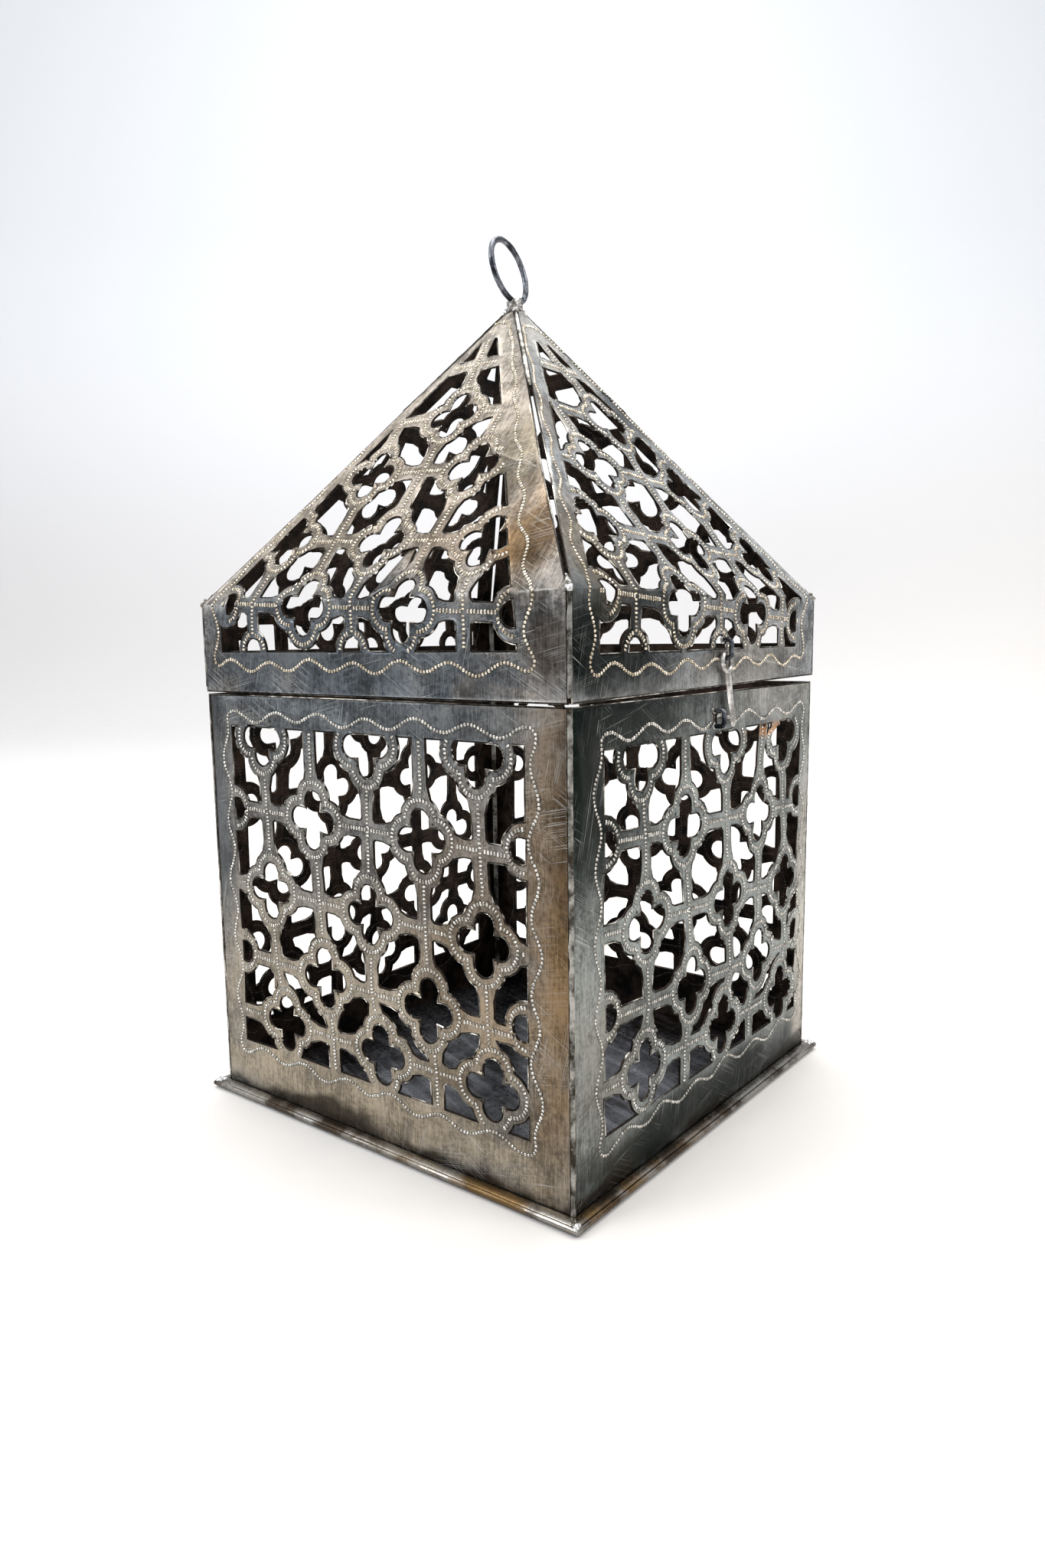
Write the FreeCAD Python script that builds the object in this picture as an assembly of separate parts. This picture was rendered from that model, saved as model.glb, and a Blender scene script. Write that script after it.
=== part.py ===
"""Pierced sheet-metal lantern: a square box on a rolled tray, with a hinged pyramid lid.

Millimetres, +Z up, origin at the centre of the tray's underside. The front is the -Y side, which
carries the latch, and the two hinges are on the +Y side. Every flat panel is drawn in its own
plane, as seen from outside, then folded where it folds and turned to its side of the lantern.
"""
import FreeCAD, Part

import math
import os

V = FreeCAD.Vector

# ---------------------------------------------------------------- driving dimensions
BODY_HALF = 90.0            # half the width of the square body, outside
LID_HALF = 90.5             # half the width of the lid's skirt, outside
SHEET = 0.6                 # thickness of every pierced sheet
SEAM = 0.9                  # how far the sheets stop short of a corner, left for solder
SOLDER_LEG = 2.0            # leg of the solder fillet inside a vertical corner

TRAY_HALF = 95.0            # half the width of the tray over its rolled rim
TRAY_FLOOR = 0.8            # thickness of the tray's floor
RIM_HEIGHT = 3.4            # height of the rolled rim
RIM_ROUND = 1.2             # rounding of the rim's long edges

WALL_TOP = 167.2            # top edge of the body's walls
LID_GAP = 0.8               # seam between the closed lid and the body
SKIRT = 34.6                # height of the lid's vertical skirt
ROOF_RISE = 117.4           # height of the pyramid over the eave
HIP_BOW = 0.9               # how far a roof sheet's side bows in between eave and solder
HIP_SOLDER = (112.0, 55.0)  # where the solder on a hip starts, up from the eave, and its length
EAVE_DROP = 6.0             # length of the drop that closes a hip's gap at the eave
RIM_DROP_R = 1.9            # solder drop on a rim corner's mitre
APEX_LUMP_R = 3.3           # lump of solder that holds the ring
TIP_CUT = 5.0               # how far each roof sheet stops short of the apex, along its slope

BAR = 6.8                   # width of a lattice bar
FOIL_TIP = 11.1             # centre of a quatrefoil opening to the end of a lobe
FOIL_CUSP = 3.9             # centre to a corner between two lobes, along each axis
LOBE_R = 4.1                # radius of a lobe's round end
STRAP = 5.5                 # width of the strap round an opening, at a lobe
STRAP_CUSP = 5.25           # the same at a corner, along each axis
FLARE = 1.6                 # extra half-width where a bar runs into a strap
CROSS_FILL = 7.6            # half-diagonal of the diamond that rounds a crossing
EYELET_R = 9.7              # half-round eyelet on a window's side
EYELET_OPEN = (3.9, 5.9)    # its opening: half-height and depth
ARCH_R = 8.4                # half-round arch on the foot of a lid window
ARCH_OPEN = (4.2, 4.6)      # its opening: half-width and height

RING_R = 12.2               # hanging ring, centre of its wire
RING_WIRE = 1.2             # radius of the ring's wire
RING_TURN = 6.0             # degrees that the ring's plane is turned from the front
RING_LEAN = 11.0            # degrees that the ring leans to the back

HINGE_X = 52.0              # each hinge's middle, left and right of centre
HINGE_WIDTH = 16.0
HINGE_HEIGHT = 9.0          # height of a leaf
KNUCKLE_LENGTH = 5.0        # each of the body leaf's two knuckles
KNUCKLE_GAP = 0.4           # side play of the lid's knuckle between them
KNUCKLE_R = 1.7
KNUCKLE_NECK = 3.0          # height of the strip that rolls up into a knuckle
LEAF_CLEAR = 0.3            # gap between a leaf and the knuckles' line
PIN_R = 0.8
PIN_PLAY = 0.05             # radial play of the lid's knuckle on its pin
HINGE_OUT = 2.6             # hinge axis outside the body's back wall

STAPLE_WIRE = 0.9           # radius of the two latch staples' wire
STAPLE_OUT = 4.0            # how far a staple's bridge stands off the body's wall
STAPLE_BEND = 1.3           # radius of a staple's bends
HOOK_WIRE = 0.9
HOOK_OUT = 1.9              # hook's wire centre off the body's wall
HOOK_X = 6.5                # hook's pivot, right of centre
HOOK_ABOVE_SEAM = 11.5
HOOK_REACH = 22.0           # pivot to the middle of the hook's finger
HOOK_TIP = 5.0              # length of the finger that goes into the catch
HOOK_TAIL = 5.0             # how far the strip goes on past its finger
STRIP_HALF = 2.1            # half width of the strip that the hook is made of
STRIP_THICK = 1.0
HOOK_REST = 15.0            # degrees that the loose hook leans to the right
EYE_R = 3.5                 # hook's eye, centre of its wire
EYE_PLAY = 0.05
CATCH_X = 1.5               # the body's staple, right of centre
SLOT = (2.6, 3.0)           # slot in the wall between the catch staple's feet, width and height

# ---------------------------------------------------------------- worked out from those
LID_BOTTOM = WALL_TOP + LID_GAP
EAVE = LID_BOTTOM + SKIRT
APEX = EAVE + ROOF_RISE
ROOF_SLOPE = math.hypot(LID_HALF, ROOF_RISE)
ROOF_ANGLE = math.degrees(math.atan2(ROOF_RISE, LID_HALF))
HINGE_Y = BODY_HALF + HINGE_OUT
HINGE_Z = WALL_TOP + LID_GAP / 2
HOOK_Z = LID_BOTTOM + HOOK_ABOVE_SEAM
CATCH_Z = HOOK_Z - HOOK_REACH

# Which way a front panel is turned about +Z to stand on each side.
SIDES = {"front": 0, "right": 90, "back": 180, "left": -90}

# The lattice is laid out by eye. Wall heights are depths below the top edge, and lid heights go
# up the panel from the fold at the eave. Each row is (height at the left, height at the right).
WALL_WINDOWS = {
    "left": {"x": (14.4, 162.0), "depth": (12.6, 142.8)},
    "front": {"x": (18.6, 169.2), "depth": (15.0, 143.4)},
    "right": {"x": (15.0, 165.0), "depth": (13.6, 142.6)},
    "back": {"x": (15.6, 164.4), "depth": (14.2, 143.0)},
}
# Each wall column is (x at the top row, x at the fourth row, x at the foot row).
WALL_COLUMNS = {
    "left": ((33.0, 35.5, 40.5), (59.0, 64.8, 67.8), (90.0, 90.0, 94.0), (116.2, 118.4, 121.2),
             (142.4, 145.0, 147.0)),
    "front": ((41.4, 45.6, 43.2), (67.5, 76.2, 71.4), (100.5, 107.0, 101.0), (129.5, 132.5, 124.5),
              (152.4, 158.0, 153.6)),
    "right": ((34.5, 36.5, 35.5), (62.0, 64.0, 63.5), (91.0, 89.5, 90.5), (118.5, 119.0, 117.0),
              (146.0, 144.5, 145.0)),
    "back": ((33.5, 35.5, 36.5), (63.0, 61.0, 62.5), (89.0, 92.0, 91.0), (117.0, 116.0, 118.5),
             (144.0, 147.0, 146.5)),
}
WALL_ROWS = {
    "left": ((16.6, 16.4), (44.6, 49.0), (75.8, 80.6), (105.6, 109.4), (130.2, 130.0)),
    "front": ((18.2, 20.8), (43.8, 52.8), (73.8, 85.0), (103.2, 113.6), (127.2, 133.6)),
    "right": ((18.0, 18.6), (47.4, 46.2), (78.6, 80.0), (106.8, 107.6), (131.4, 130.2)),
    "back": ((17.4, 18.6), (46.0, 47.8), (78.8, 79.4), (106.0, 108.2), (130.4, 131.0)),
}
# Depths of the half-round eyelets down a wall window's left side, then down its right side.
WALL_EYELETS = {
    "left": ((45.6, 105.0), (46.2, 105.0)),
    "front": ((45.0, 103.2), (48.6, 107.8)),
    "right": ((47.2, 106.6), (46.4, 107.2)),
    "back": ((46.0, 106.4), (47.6, 108.0)),
}
# Each lid column is (x at the eave, x at the fourth row).
LID_COLUMNS = {
    "left": ((32.0, 40.0), (61.5, 62.5), (86.5, 90.5), (111.5, 116.5), (139.0, 138.0)),
    "front": ((37.0, 42.0), (68.0, 68.0), (95.5, 99.4), (121.0, 129.0), (149.0, 146.0)),
    "right": ((34.0, 41.0), (62.5, 63.5), (90.5, 91.0), (117.5, 118.0), (144.0, 140.0)),
    "back": ((33.0, 41.0), (61.0, 64.0), (89.5, 90.0), (116.0, 117.5), (142.0, 140.0)),
}
LID_ROWS = {
    "left": ((0.8, -8.0), (32.6, 17.7), (64.5, 53.0), (91.5, 81.0), (117.0, 110.5)),
    "front": ((0.6, -10.6), (31.0, 16.5), (63.5, 50.5), (93.0, 79.5), (115.5, 109.0)),
    "right": ((-1.0, -6.0), (28.5, 22.0), (60.5, 55.0), (88.0, 83.5), (114.5, 112.5)),
    "back": ((-2.0, -5.0), (27.0, 23.5), (59.0, 56.5), (87.5, 85.0), (114.0, 112.0)),
}
ROW_COLUMNS = ((1, 2, 3, 4, 5), (1, 2, 3, 4, 5), (2, 3, 4), (3,), (3,))
TIP_LEAN = {"left": -2.0, "front": -6.0, "right": 0.5, "back": -0.5}
# Corners of each lid window, from its lower left clockwise. The second and the last but one are
# where its sides leave the eave for the roof.
LID_WINDOWS = {
    "left": ((12.6, -18.4), (12.8, 4.0), (84.0, 127.5), (91.5, 127.5), (159.0, -1.0), (160.6, -18.4)),
    "front": ((16.2, -19.6), (15.4, 5.0), (86.6, 125.0), (94.6, 125.6), (167.0, 0.0), (162.0, -19.6)),
    "right": ((14.4, -18.8), (14.6, 4.0), (86.0, 127.0), (93.8, 127.0), (166.0, 1.0), (163.6, -18.8)),
    "back": ((15.0, -18.6), (15.0, 4.5), (86.4, 126.6), (93.4, 126.6), (165.6, 1.5), (164.0, -18.6)),
}
BAR_LEAD = 30.0             # how far a lid bar runs past its last crossing, for the window to cut
SMALLEST_CELL = 5.0         # square mm: a smaller cell between bars is never cut out
LIFTED_CORNER = 2.0         # how far the skirt's front right corner is cut up from the seam


# ---------------------------------------------------------------- flat shapes
def hand(index):
    """A number from -1 to 1 that differs from one index to the next, like handwork does."""
    return math.sin(2.4 * index + 0.7 * index * index)


def between(pair, part):
    return pair[0] + (pair[1] - pair[0]) * part


def column_x(column, row):
    """Where a wall column stands at a row: it bows to its fourth row, then returns to its foot."""
    top, low, foot = column
    return between((top, low), row / 3) if row <= 3 else foot


def polygon(points):
    corners = [V(x, y, 0) for x, y in points]
    return Part.Face(Part.makePolygon(corners + corners[:1]))


def disc(x, y, radius):
    return Part.Face(Part.Wire(Part.makeCircle(radius, V(x, y, 0))))


def lobe_outline(tip, cusp):
    """The strap's outline round one lobe: a single arc from corner to corner."""
    return [Part.Arc(V(cusp, -cusp, 0), V(tip, 0, 0), V(cusp, cusp, 0)).toShape()]


def lobe_opening(tip, cusp):
    """One lobe of the opening: two nearly straight sides and a round end."""
    low, high = V(tip - LOBE_R, -LOBE_R, 0), V(tip - LOBE_R, LOBE_R, 0)
    return [Part.makeLine(V(cusp, -cusp, 0), low), Part.Arc(low, V(tip, 0, 0), high).toShape(),
            Part.makeLine(high, V(cusp, cusp, 0))]


def foil(centre, tips, cusp, turn, lobe):
    """A quatrefoil. tips are the lobes' reaches to the right, up, left and down."""
    edges = []
    for quarter, tip in enumerate(tips):
        for edge in lobe(tip, cusp):
            edge.rotate(V(0, 0, 0), V(0, 0, 1), 90 * quarter + turn)
            edge.translate(V(centre[0], centre[1], 0))
            edges.append(edge)
    return Part.Face(Part.Wire(edges))


def half_round(x, y, half_width, depth, facing):
    """A D-shaped opening with its flat side on (x, y), bulging towards facing, in degrees."""
    flat = (V(0, -half_width, 0), V(0, half_width, 0))
    edges = [Part.Arc(flat[0], V(depth, 0, 0), flat[1]).toShape(), Part.makeLine(flat[1], flat[0])]
    face = Part.Face(Part.Wire(edges))
    face.rotate(V(0, 0, 0), V(0, 0, 1), facing)
    face.translate(V(x, y, 0))
    return face


def strip(start, end, half_start, half_end):
    """A straight strip between two points, with its own half-width at each end."""
    run = V(end[0] - start[0], end[1] - start[1], 0).normalize()
    side = V(-run.y, run.x, 0)
    a, b = V(start[0], start[1], 0), V(end[0], end[1], 0)
    corners = [a + side * half_start, b + side * half_end, b - side * half_end, a - side * half_start]
    return Part.Face(Part.makePolygon(corners + corners[:1]))


def toward(start, end, distance):
    run = math.dist(start, end)
    return tuple(s + (e - s) * distance / run for s, e in zip(start, end))


# ---------------------------------------------------------------- the lattice
def foil_shapes(centre, index):
    """A quatrefoil's strap and opening, each a little different, as (strap, opening)."""
    tips = [FOIL_TIP * (1 + 0.05 * hand(4 * index + lobe)) for lobe in range(4)]
    cusp = FOIL_CUSP * (1 + 0.06 * hand(index + 31))
    turn = 4.0 * hand(index + 57)
    outer_tips = [tip + STRAP * (1 + 0.08 * hand(index + lobe + 83)) for lobe, tip in enumerate(tips)]
    strap = foil(centre, outer_tips, cusp + STRAP_CUSP, turn, lobe_outline)
    return strap, foil(centre, tips, cusp, turn, lobe_opening)


def run_of_bars(points, are_foils):
    """Bars from point to point, flared where they run into a quatrefoil's strap."""
    strap_edge = FOIL_TIP + STRAP
    shapes = []
    for k in range(len(points) - 1):
        start, end = points[k], points[k + 1]
        shapes.append(strip(start, end, BAR / 2, BAR / 2))
        for near, far, is_foil in ((start, end, are_foils[k]), (end, start, are_foils[k + 1])):
            if is_foil:
                inside = toward(near, far, strap_edge - 2.8)
                outside = toward(near, far, strap_edge + 2.6)
                shapes.append(strip(inside, outside, BAR / 2 + FLARE, BAR / 2))
    return shapes


def crossing(centre):
    x, y = centre
    return polygon([(x + CROSS_FILL, y), (x, y + CROSS_FILL), (x - CROSS_FILL, y), (x, y - CROSS_FILL)])


def lattice(grid, is_foil, columns_run, rows_run, extra_metal, extra_openings, seed):
    """The metal and the openings that fill a window, as (metal faces, opening faces).

    grid maps (column, row) to its point. columns_run and rows_run list the runs of points that
    bars follow, each point a grid key or a plain (x, y) on the window's edge.
    """
    metal, openings = list(extra_metal), list(extra_openings)
    for number, (key, centre) in enumerate(sorted(grid.items())):
        if is_foil(key):
            strap, opening = foil_shapes(centre, number + seed)
            metal.append(strap)
            openings.append(opening)
        else:
            metal.append(crossing(centre))
    for run in columns_run + rows_run:
        points = [grid.get(stop, stop) for stop in run]
        foils = [stop in grid and is_foil(stop) for stop in run]
        metal += run_of_bars(points, foils)
    return metal, openings


def pierce(outline, window, metal, openings):
    """The outline with the window cut out of it, except where the lattice's metal is."""
    cells = [cell for cell in window.cut(metal).Faces if cell.Area > SMALLEST_CELL]
    return outline.cut(cells + [opening.common(window) for opening in openings])


# ---------------------------------------------------------------- body walls
def wall_face(side):
    """A body wall from its top left corner, x to the right and y up, so the foot is negative."""
    width = 2 * BODY_HALF
    foot = -(WALL_TOP - TRAY_FLOOR)
    left, right = WALL_WINDOWS[side]["x"]
    top, bottom = (-depth for depth in WALL_WINDOWS[side]["depth"])
    grid = {}
    for i, column in enumerate(WALL_COLUMNS[side], 1):
        for j, row in enumerate(WALL_ROWS[side]):
            x = column_x(column, j)
            grid[i, j] = (x, -between(row, x / width))
    # The top row is a row of quatrefoils only, cut by the window's edge, with no bar across.
    grid = {key: point for key, point in grid.items() if key[1] or key[0] % 2}
    eyelets = [(x, -depth, facing)
               for x, depths, facing in zip((left, right), WALL_EYELETS[side], (0, 180))
               for depth in depths]
    columns = []
    for i in range(1, 6):
        run = [(i, j) for j in range(5) if (i, j) in grid]
        edge = 0 if i % 2 else 1
        run = ([(grid[run[0]][0], top + 1)] if edge else []) + run + [(grid[run[-1]][0], bottom - 1)]
        columns.append(run)
    rows = []
    for j, row in list(enumerate(WALL_ROWS[side]))[1:]:
        ends = [(x, -between(row, x / width)) for x in (left - 1, right + 1)]
        rows.append([ends[0]] + [(i, j) for i in range(1, 6)] + [ends[1]])
    metal = [disc(x, y, EYELET_R) for x, y, _ in eyelets]
    openings = [half_round(x, y, *EYELET_OPEN, facing) for x, y, facing in eyelets]
    seed = 40 * list(SIDES).index(side)
    metal, openings = lattice(grid, lambda key: sum(key) % 2 == 1, columns, rows, metal, openings, seed)
    outline = polygon([(SEAM, foot), (width - SEAM, foot), (width - SEAM, 0), (SEAM, 0)])
    window = polygon([(left, bottom), (right, bottom), (right, top), (left, top)])
    sheet = pierce(outline, window, metal, openings)
    return sheet.cut(catch_slot()) if side == "front" else sheet


def catch_slot():
    """A small slot that shows between the catch staple's feet."""
    x, y = BODY_HALF + CATCH_X, CATCH_Z - WALL_TOP
    half_width, half_height = SLOT[0] / 2, SLOT[1] / 2
    return polygon([(x - half_width, y - half_height), (x + half_width, y - half_height),
                    (x + half_width, y + half_height), (x - half_width, y + half_height)])


def stand_up(face, origin, tilt):
    """A flat sheet tilted up by tilt degrees, with its thickness behind its outer face."""
    sheet = face.extrude(V(0, 0, -SHEET))
    sheet.rotate(V(0, 0, 0), V(1, 0, 0), tilt)
    sheet.translate(origin)
    return sheet


def turn_to(shape, side):
    turned = shape.copy()
    turned.rotate(V(0, 0, 0), V(0, 0, 1), SIDES[side])
    return turned


def wall(side):
    sheet = stand_up(wall_face(side), V(-BODY_HALF, -BODY_HALF, WALL_TOP), 90)
    return turn_to(sheet.Solids[0], side)


# ---------------------------------------------------------------- lid panels
def lid_grid(side):
    """Lattice points of a lid panel, fewer to a row as the roof narrows."""
    width = 2 * LID_HALF
    grid = {}
    for j, row in enumerate(LID_ROWS[side]):
        for i in ROW_COLUMNS[j]:
            x = between(LID_COLUMNS[side][i - 1], min(j, 3) / 3)
            x += TIP_LEAN[side] * (j == 4)
            grid[i, j] = (x, between(row, x / width))
    return grid


def lid_face(side):
    """A lid panel laid flat. y = 0 is the fold at the eave, with the skirt below and roof above."""
    width = 2 * LID_HALF
    grid = lid_grid(side)
    window = LID_WINDOWS[side]
    (left, foot), right = window[0], window[-1][0]
    columns = []
    for i in range(1, 6):
        run = sorted(key for key in grid if key[0] == i)
        top_x, top_y = grid[run[-1]]
        # The outer columns stop at the window's slanted sides, so no bar goes on above them.
        lean = TIP_LEAN[side] if i == 3 else 0.0
        last = [] if i in (1, 5) else [(top_x + lean, top_y + BAR_LEAD)]
        # Columns 2 and 4 end in a quatrefoil on the eave row, so they have no bar below it.
        first = [] if i in (2, 4) else [(LID_COLUMNS[side][i - 1][0], foot - 1)]
        columns.append(first + run + last)
    rows = []
    for j, row in enumerate(LID_ROWS[side]):
        run = sorted(key for key in grid if key[1] == j)
        reach = (grid[run[0]][0] - BAR_LEAD, grid[run[-1]][0] + BAR_LEAD)
        ends = [(x, between(row, x / width)) for x in reach]
        rows.append([ends[0]] + run + [ends[1]])
    arches = [LID_COLUMNS[side][k][0] for k in (0, 2)]
    metal = [disc(x, foot, ARCH_R) for x in arches]
    openings = [half_round(x, foot, *ARCH_OPEN, 90) for x in arches]
    for x, facing in ((left + 3.2, 10), (right, 185)):
        y = between(LID_ROWS[side][0], x / width)
        metal.append(disc(x, y, EYELET_R))
        openings.append(half_round(x, y, *EYELET_OPEN, facing))
    seed = 40 * list(SIDES).index(side) + 20
    metal, openings = lattice(grid, lambda key: (sum(key) % 2 == 0 and key[1] > 0 and key != (3, 4))
                              or key in ((2, 0), (4, 0)), columns, rows, metal, openings, seed)
    lift = [LIFTED_CORNER if side == name else 0.0 for name in ("right", "front")]
    # Each slanted side bows in where the hip is open, and is straight again under its solder.
    hip_length = math.hypot(ROOF_SLOPE, LID_HALF)
    closed = HIP_SOLDER[0] * ROOF_SLOPE / hip_length
    side_heights = (0.0, closed * 0.55, closed, ROOF_SLOPE - TIP_CUT)
    side_bows = (0.0, HIP_BOW, 0.0, 0.0)
    slanted = [(SEAM + LID_HALF * y / ROOF_SLOPE + bow, y) for y, bow in zip(side_heights, side_bows)]
    mirrored = [(width - x, y) for x, y in slanted]
    outline = polygon([(SEAM, -SKIRT + lift[0]), (width - SEAM, -SKIRT + lift[1])]
                      + mirrored + slanted[::-1])
    return pierce(outline, polygon(window), metal, openings)


def lid_panel(side):
    """The flat panel parted at the eave, each part tilted its own way, joined along the fold."""
    face = lid_face(side)
    width = 2 * LID_HALF
    roof = face.common(polygon([(0, 0), (width, 0), (width, ROOF_SLOPE), (0, ROOF_SLOPE)]))
    skirt = face.common(polygon([(0, -SKIRT), (width, -SKIRT), (width, 0), (0, 0)]))
    corner = V(-LID_HALF, -LID_HALF, EAVE)
    sheets = []
    for part, tilt in ((roof, ROOF_ANGLE), (skirt, 90)):
        for piece in part.Faces:
            sheets.append(stand_up(piece, corner, tilt))
    folded = sheets[0].fuse(sheets[1:])
    return turn_to(folded.Solids[0], side)


# ---------------------------------------------------------------- tray and solder
def tray():
    """The tray's floor and its rolled rim in one folded sheet, rounded on the outside."""
    floor = Part.makeBox(2 * TRAY_HALF - 6, 2 * TRAY_HALF - 6, TRAY_FLOOR,
                         V(-TRAY_HALF + 3, -TRAY_HALF + 3, 0))
    size = 2 * TRAY_HALF
    rim = Part.makeBox(size, size, RIM_HEIGHT, V(-TRAY_HALF, -TRAY_HALF, 0))
    long_edges = [edge for edge in rim.Edges
                  if abs(edge.Vertexes[0].Z - edge.Vertexes[1].Z) < 0.01]
    rim = rim.makeFillet(RIM_ROUND, long_edges)
    inner = 2 * BODY_HALF
    well = Part.makeBox(inner, inner, RIM_HEIGHT, V(-BODY_HALF, -BODY_HALF, 0))
    return rim.cut(well).fuse(floor).removeSplitter()


def corner_seam(half, low, high):
    """Solder down the -X -Y corner of a square tube: it fills the corner and fillets the inside."""
    fill = SHEET + SOLDER_LEG
    corners = [(SEAM, 0), (SEAM, SHEET), (fill, SHEET), (SHEET, fill), (SHEET, SEAM), (0, SEAM)]
    points = [V(x - half, y - half, low) for x, y in corners]
    edges = [Part.makeLine(a, b) for a, b in zip(points, points[1:])]
    bulge = SEAM * 0.18
    edges.append(Part.Arc(points[-1], V(bulge - half, bulge - half, low), points[0]).toShape())
    return Part.Face(Part.Wire(edges)).extrude(V(0, 0, high - low))


def hip_frame():
    """The -X -Y hip: its foot, its direction, and for each sheet (away from the hip, inward)."""
    foot = V(-LID_HALF, -LID_HALF, EAVE)
    along = (V(0, 0, APEX) - foot).normalize()
    slope = math.radians(ROOF_ANGLE)
    sheets = []
    for inward in (V(0, math.sin(slope), -math.cos(slope)), V(math.sin(slope), 0, -math.cos(slope))):
        away = along.cross(inward).normalize()
        if away.dot(V(1, 1, 0)) < 0:
            away = away * -1
        sheets.append((away, inward))
    return foot, along, sheets


def hip_solder(start, length):
    """Solder that fills the gap between two roof sheets along a stretch of the hip."""
    foot, along, ((away_a, in_a), (away_b, in_b)) = hip_frame()
    reach = SEAM * math.sin(math.atan2(ROOF_SLOPE, LID_HALF))
    base = foot + along * start
    outline = [base, base + away_a * reach, base + away_a * reach + in_a * SHEET,
               base + away_b * reach + in_b * SHEET, base + away_b * reach]
    return Part.Face(Part.makePolygon(outline + outline[:1])).extrude(along * length)


def lid_seam():
    """One corner of the lid: the skirt's vertical seam with the drop that ends the hip's gap."""
    foot, along, _ = hip_frame()
    seam = corner_seam(LID_HALF, LID_BOTTOM + LIFTED_CORNER, EAVE - 0.2)
    return seam.fuse(hip_solder(0.0, EAVE_DROP)).removeSplitter()


def tray_solder():
    """A drop of solder on the mitre of each rim corner."""
    inset = TRAY_HALF - (TRAY_HALF - BODY_HALF) / 2
    drop = Part.makeSphere(RIM_DROP_R, V(-inset, -inset, RIM_HEIGHT - 0.2))
    drop = drop.cut(Part.makeBox(8, 8, RIM_HEIGHT, V(-TRAY_HALF, -TRAY_HALF, 0)))
    return [turn_to(drop, side) for side in SIDES]


# ---------------------------------------------------------------- hanging ring
def ring():
    loop = Part.makeTorus(RING_R, RING_WIRE, V(0, 0, RING_R), V(0, 1, 0))
    loop.rotate(V(0, 0, 0), V(1, 0, 0), -RING_LEAN)
    loop.rotate(V(0, 0, 0), V(0, 0, 1), RING_TURN)
    loop.translate(V(0, 0, APEX + 0.2))
    return loop


def apex_solder():
    """The lump that closes the tip and holds the ring's foot."""
    tip_z = EAVE + (ROOF_SLOPE - TIP_CUT) * math.sin(math.radians(ROOF_ANGLE))
    lump = Part.makeSphere(APEX_LUMP_R, V(0, 0, tip_z + APEX_LUMP_R))
    plug = Part.makeBox(3.6, 3.6, 4.0, V(-1.8, -1.8, tip_z - 2.0))
    return lump.fuse(plug).cut(ring()).removeSplitter()


# ---------------------------------------------------------------- hinges
def knuckle(x_low, x_high, bore):
    barrel = Part.makeCylinder(KNUCKLE_R, x_high - x_low, V(x_low, HINGE_Y, HINGE_Z), V(1, 0, 0))
    hole = Part.makeCylinder(bore, x_high - x_low, V(x_low, HINGE_Y, HINGE_Z), V(1, 0, 0))
    return barrel, hole


def body_leaf(x):
    """Leaf on the back wall with the hinge's two outer knuckles, which hold the pin."""
    low = x - HINGE_WIDTH / 2
    leaf = Part.makeBox(HINGE_WIDTH, SHEET, HINGE_HEIGHT,
                        V(low, BODY_HALF, HINGE_Z - KNUCKLE_R - LEAF_CLEAR - HINGE_HEIGHT))
    for start in (low, low + HINGE_WIDTH - KNUCKLE_LENGTH):
        barrel, hole = knuckle(start, start + KNUCKLE_LENGTH, PIN_R)
        neck = Part.makeBox(KNUCKLE_LENGTH, HINGE_OUT - PIN_R, KNUCKLE_NECK,
                           V(start, BODY_HALF, HINGE_Z - LEAF_CLEAR - KNUCKLE_NECK))
        leaf = leaf.fuse([barrel, neck]).cut(hole)
    return leaf.removeSplitter()


def lid_leaf(x):
    """Leaf on the lid's skirt with the middle knuckle, which turns on the pin."""
    low, inset = x - HINGE_WIDTH / 2, LID_HALF - BODY_HALF
    leaf = Part.makeBox(HINGE_WIDTH, SHEET, HINGE_HEIGHT,
                        V(low, LID_HALF, HINGE_Z + KNUCKLE_R + LEAF_CLEAR))
    inward = KNUCKLE_LENGTH + KNUCKLE_GAP
    start, stop = low + inward, low + HINGE_WIDTH - inward
    barrel, hole = knuckle(start, stop, PIN_R + PIN_PLAY)
    neck = Part.makeBox(stop - start, HINGE_OUT - inset - PIN_R - PIN_PLAY, KNUCKLE_NECK,
                        V(start, LID_HALF, HINGE_Z + LEAF_CLEAR))
    return leaf.fuse([barrel, neck]).cut(hole).removeSplitter()


def hinge_pin(x):
    low = x - HINGE_WIDTH / 2
    shank = Part.makeCylinder(PIN_R, HINGE_WIDTH + 1.2, V(low - 0.6, HINGE_Y, HINGE_Z), V(1, 0, 0))
    head = Part.makeCylinder(PIN_R + 0.5, 0.7, V(low - 0.7, HINGE_Y, HINGE_Z), V(1, 0, 0))
    return shank.fuse(head).removeSplitter()


# ---------------------------------------------------------------- latch
def wire_along(path, radius):
    """A round wire swept along a path of straight runs and tangent arcs."""
    start = path.Edges[0]
    normal = start.tangentAt(start.FirstParameter)
    section = Part.Wire(Part.makeCircle(radius, start.valueAt(start.FirstParameter), normal))
    return path.makePipeShell([section], True, True)


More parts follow.
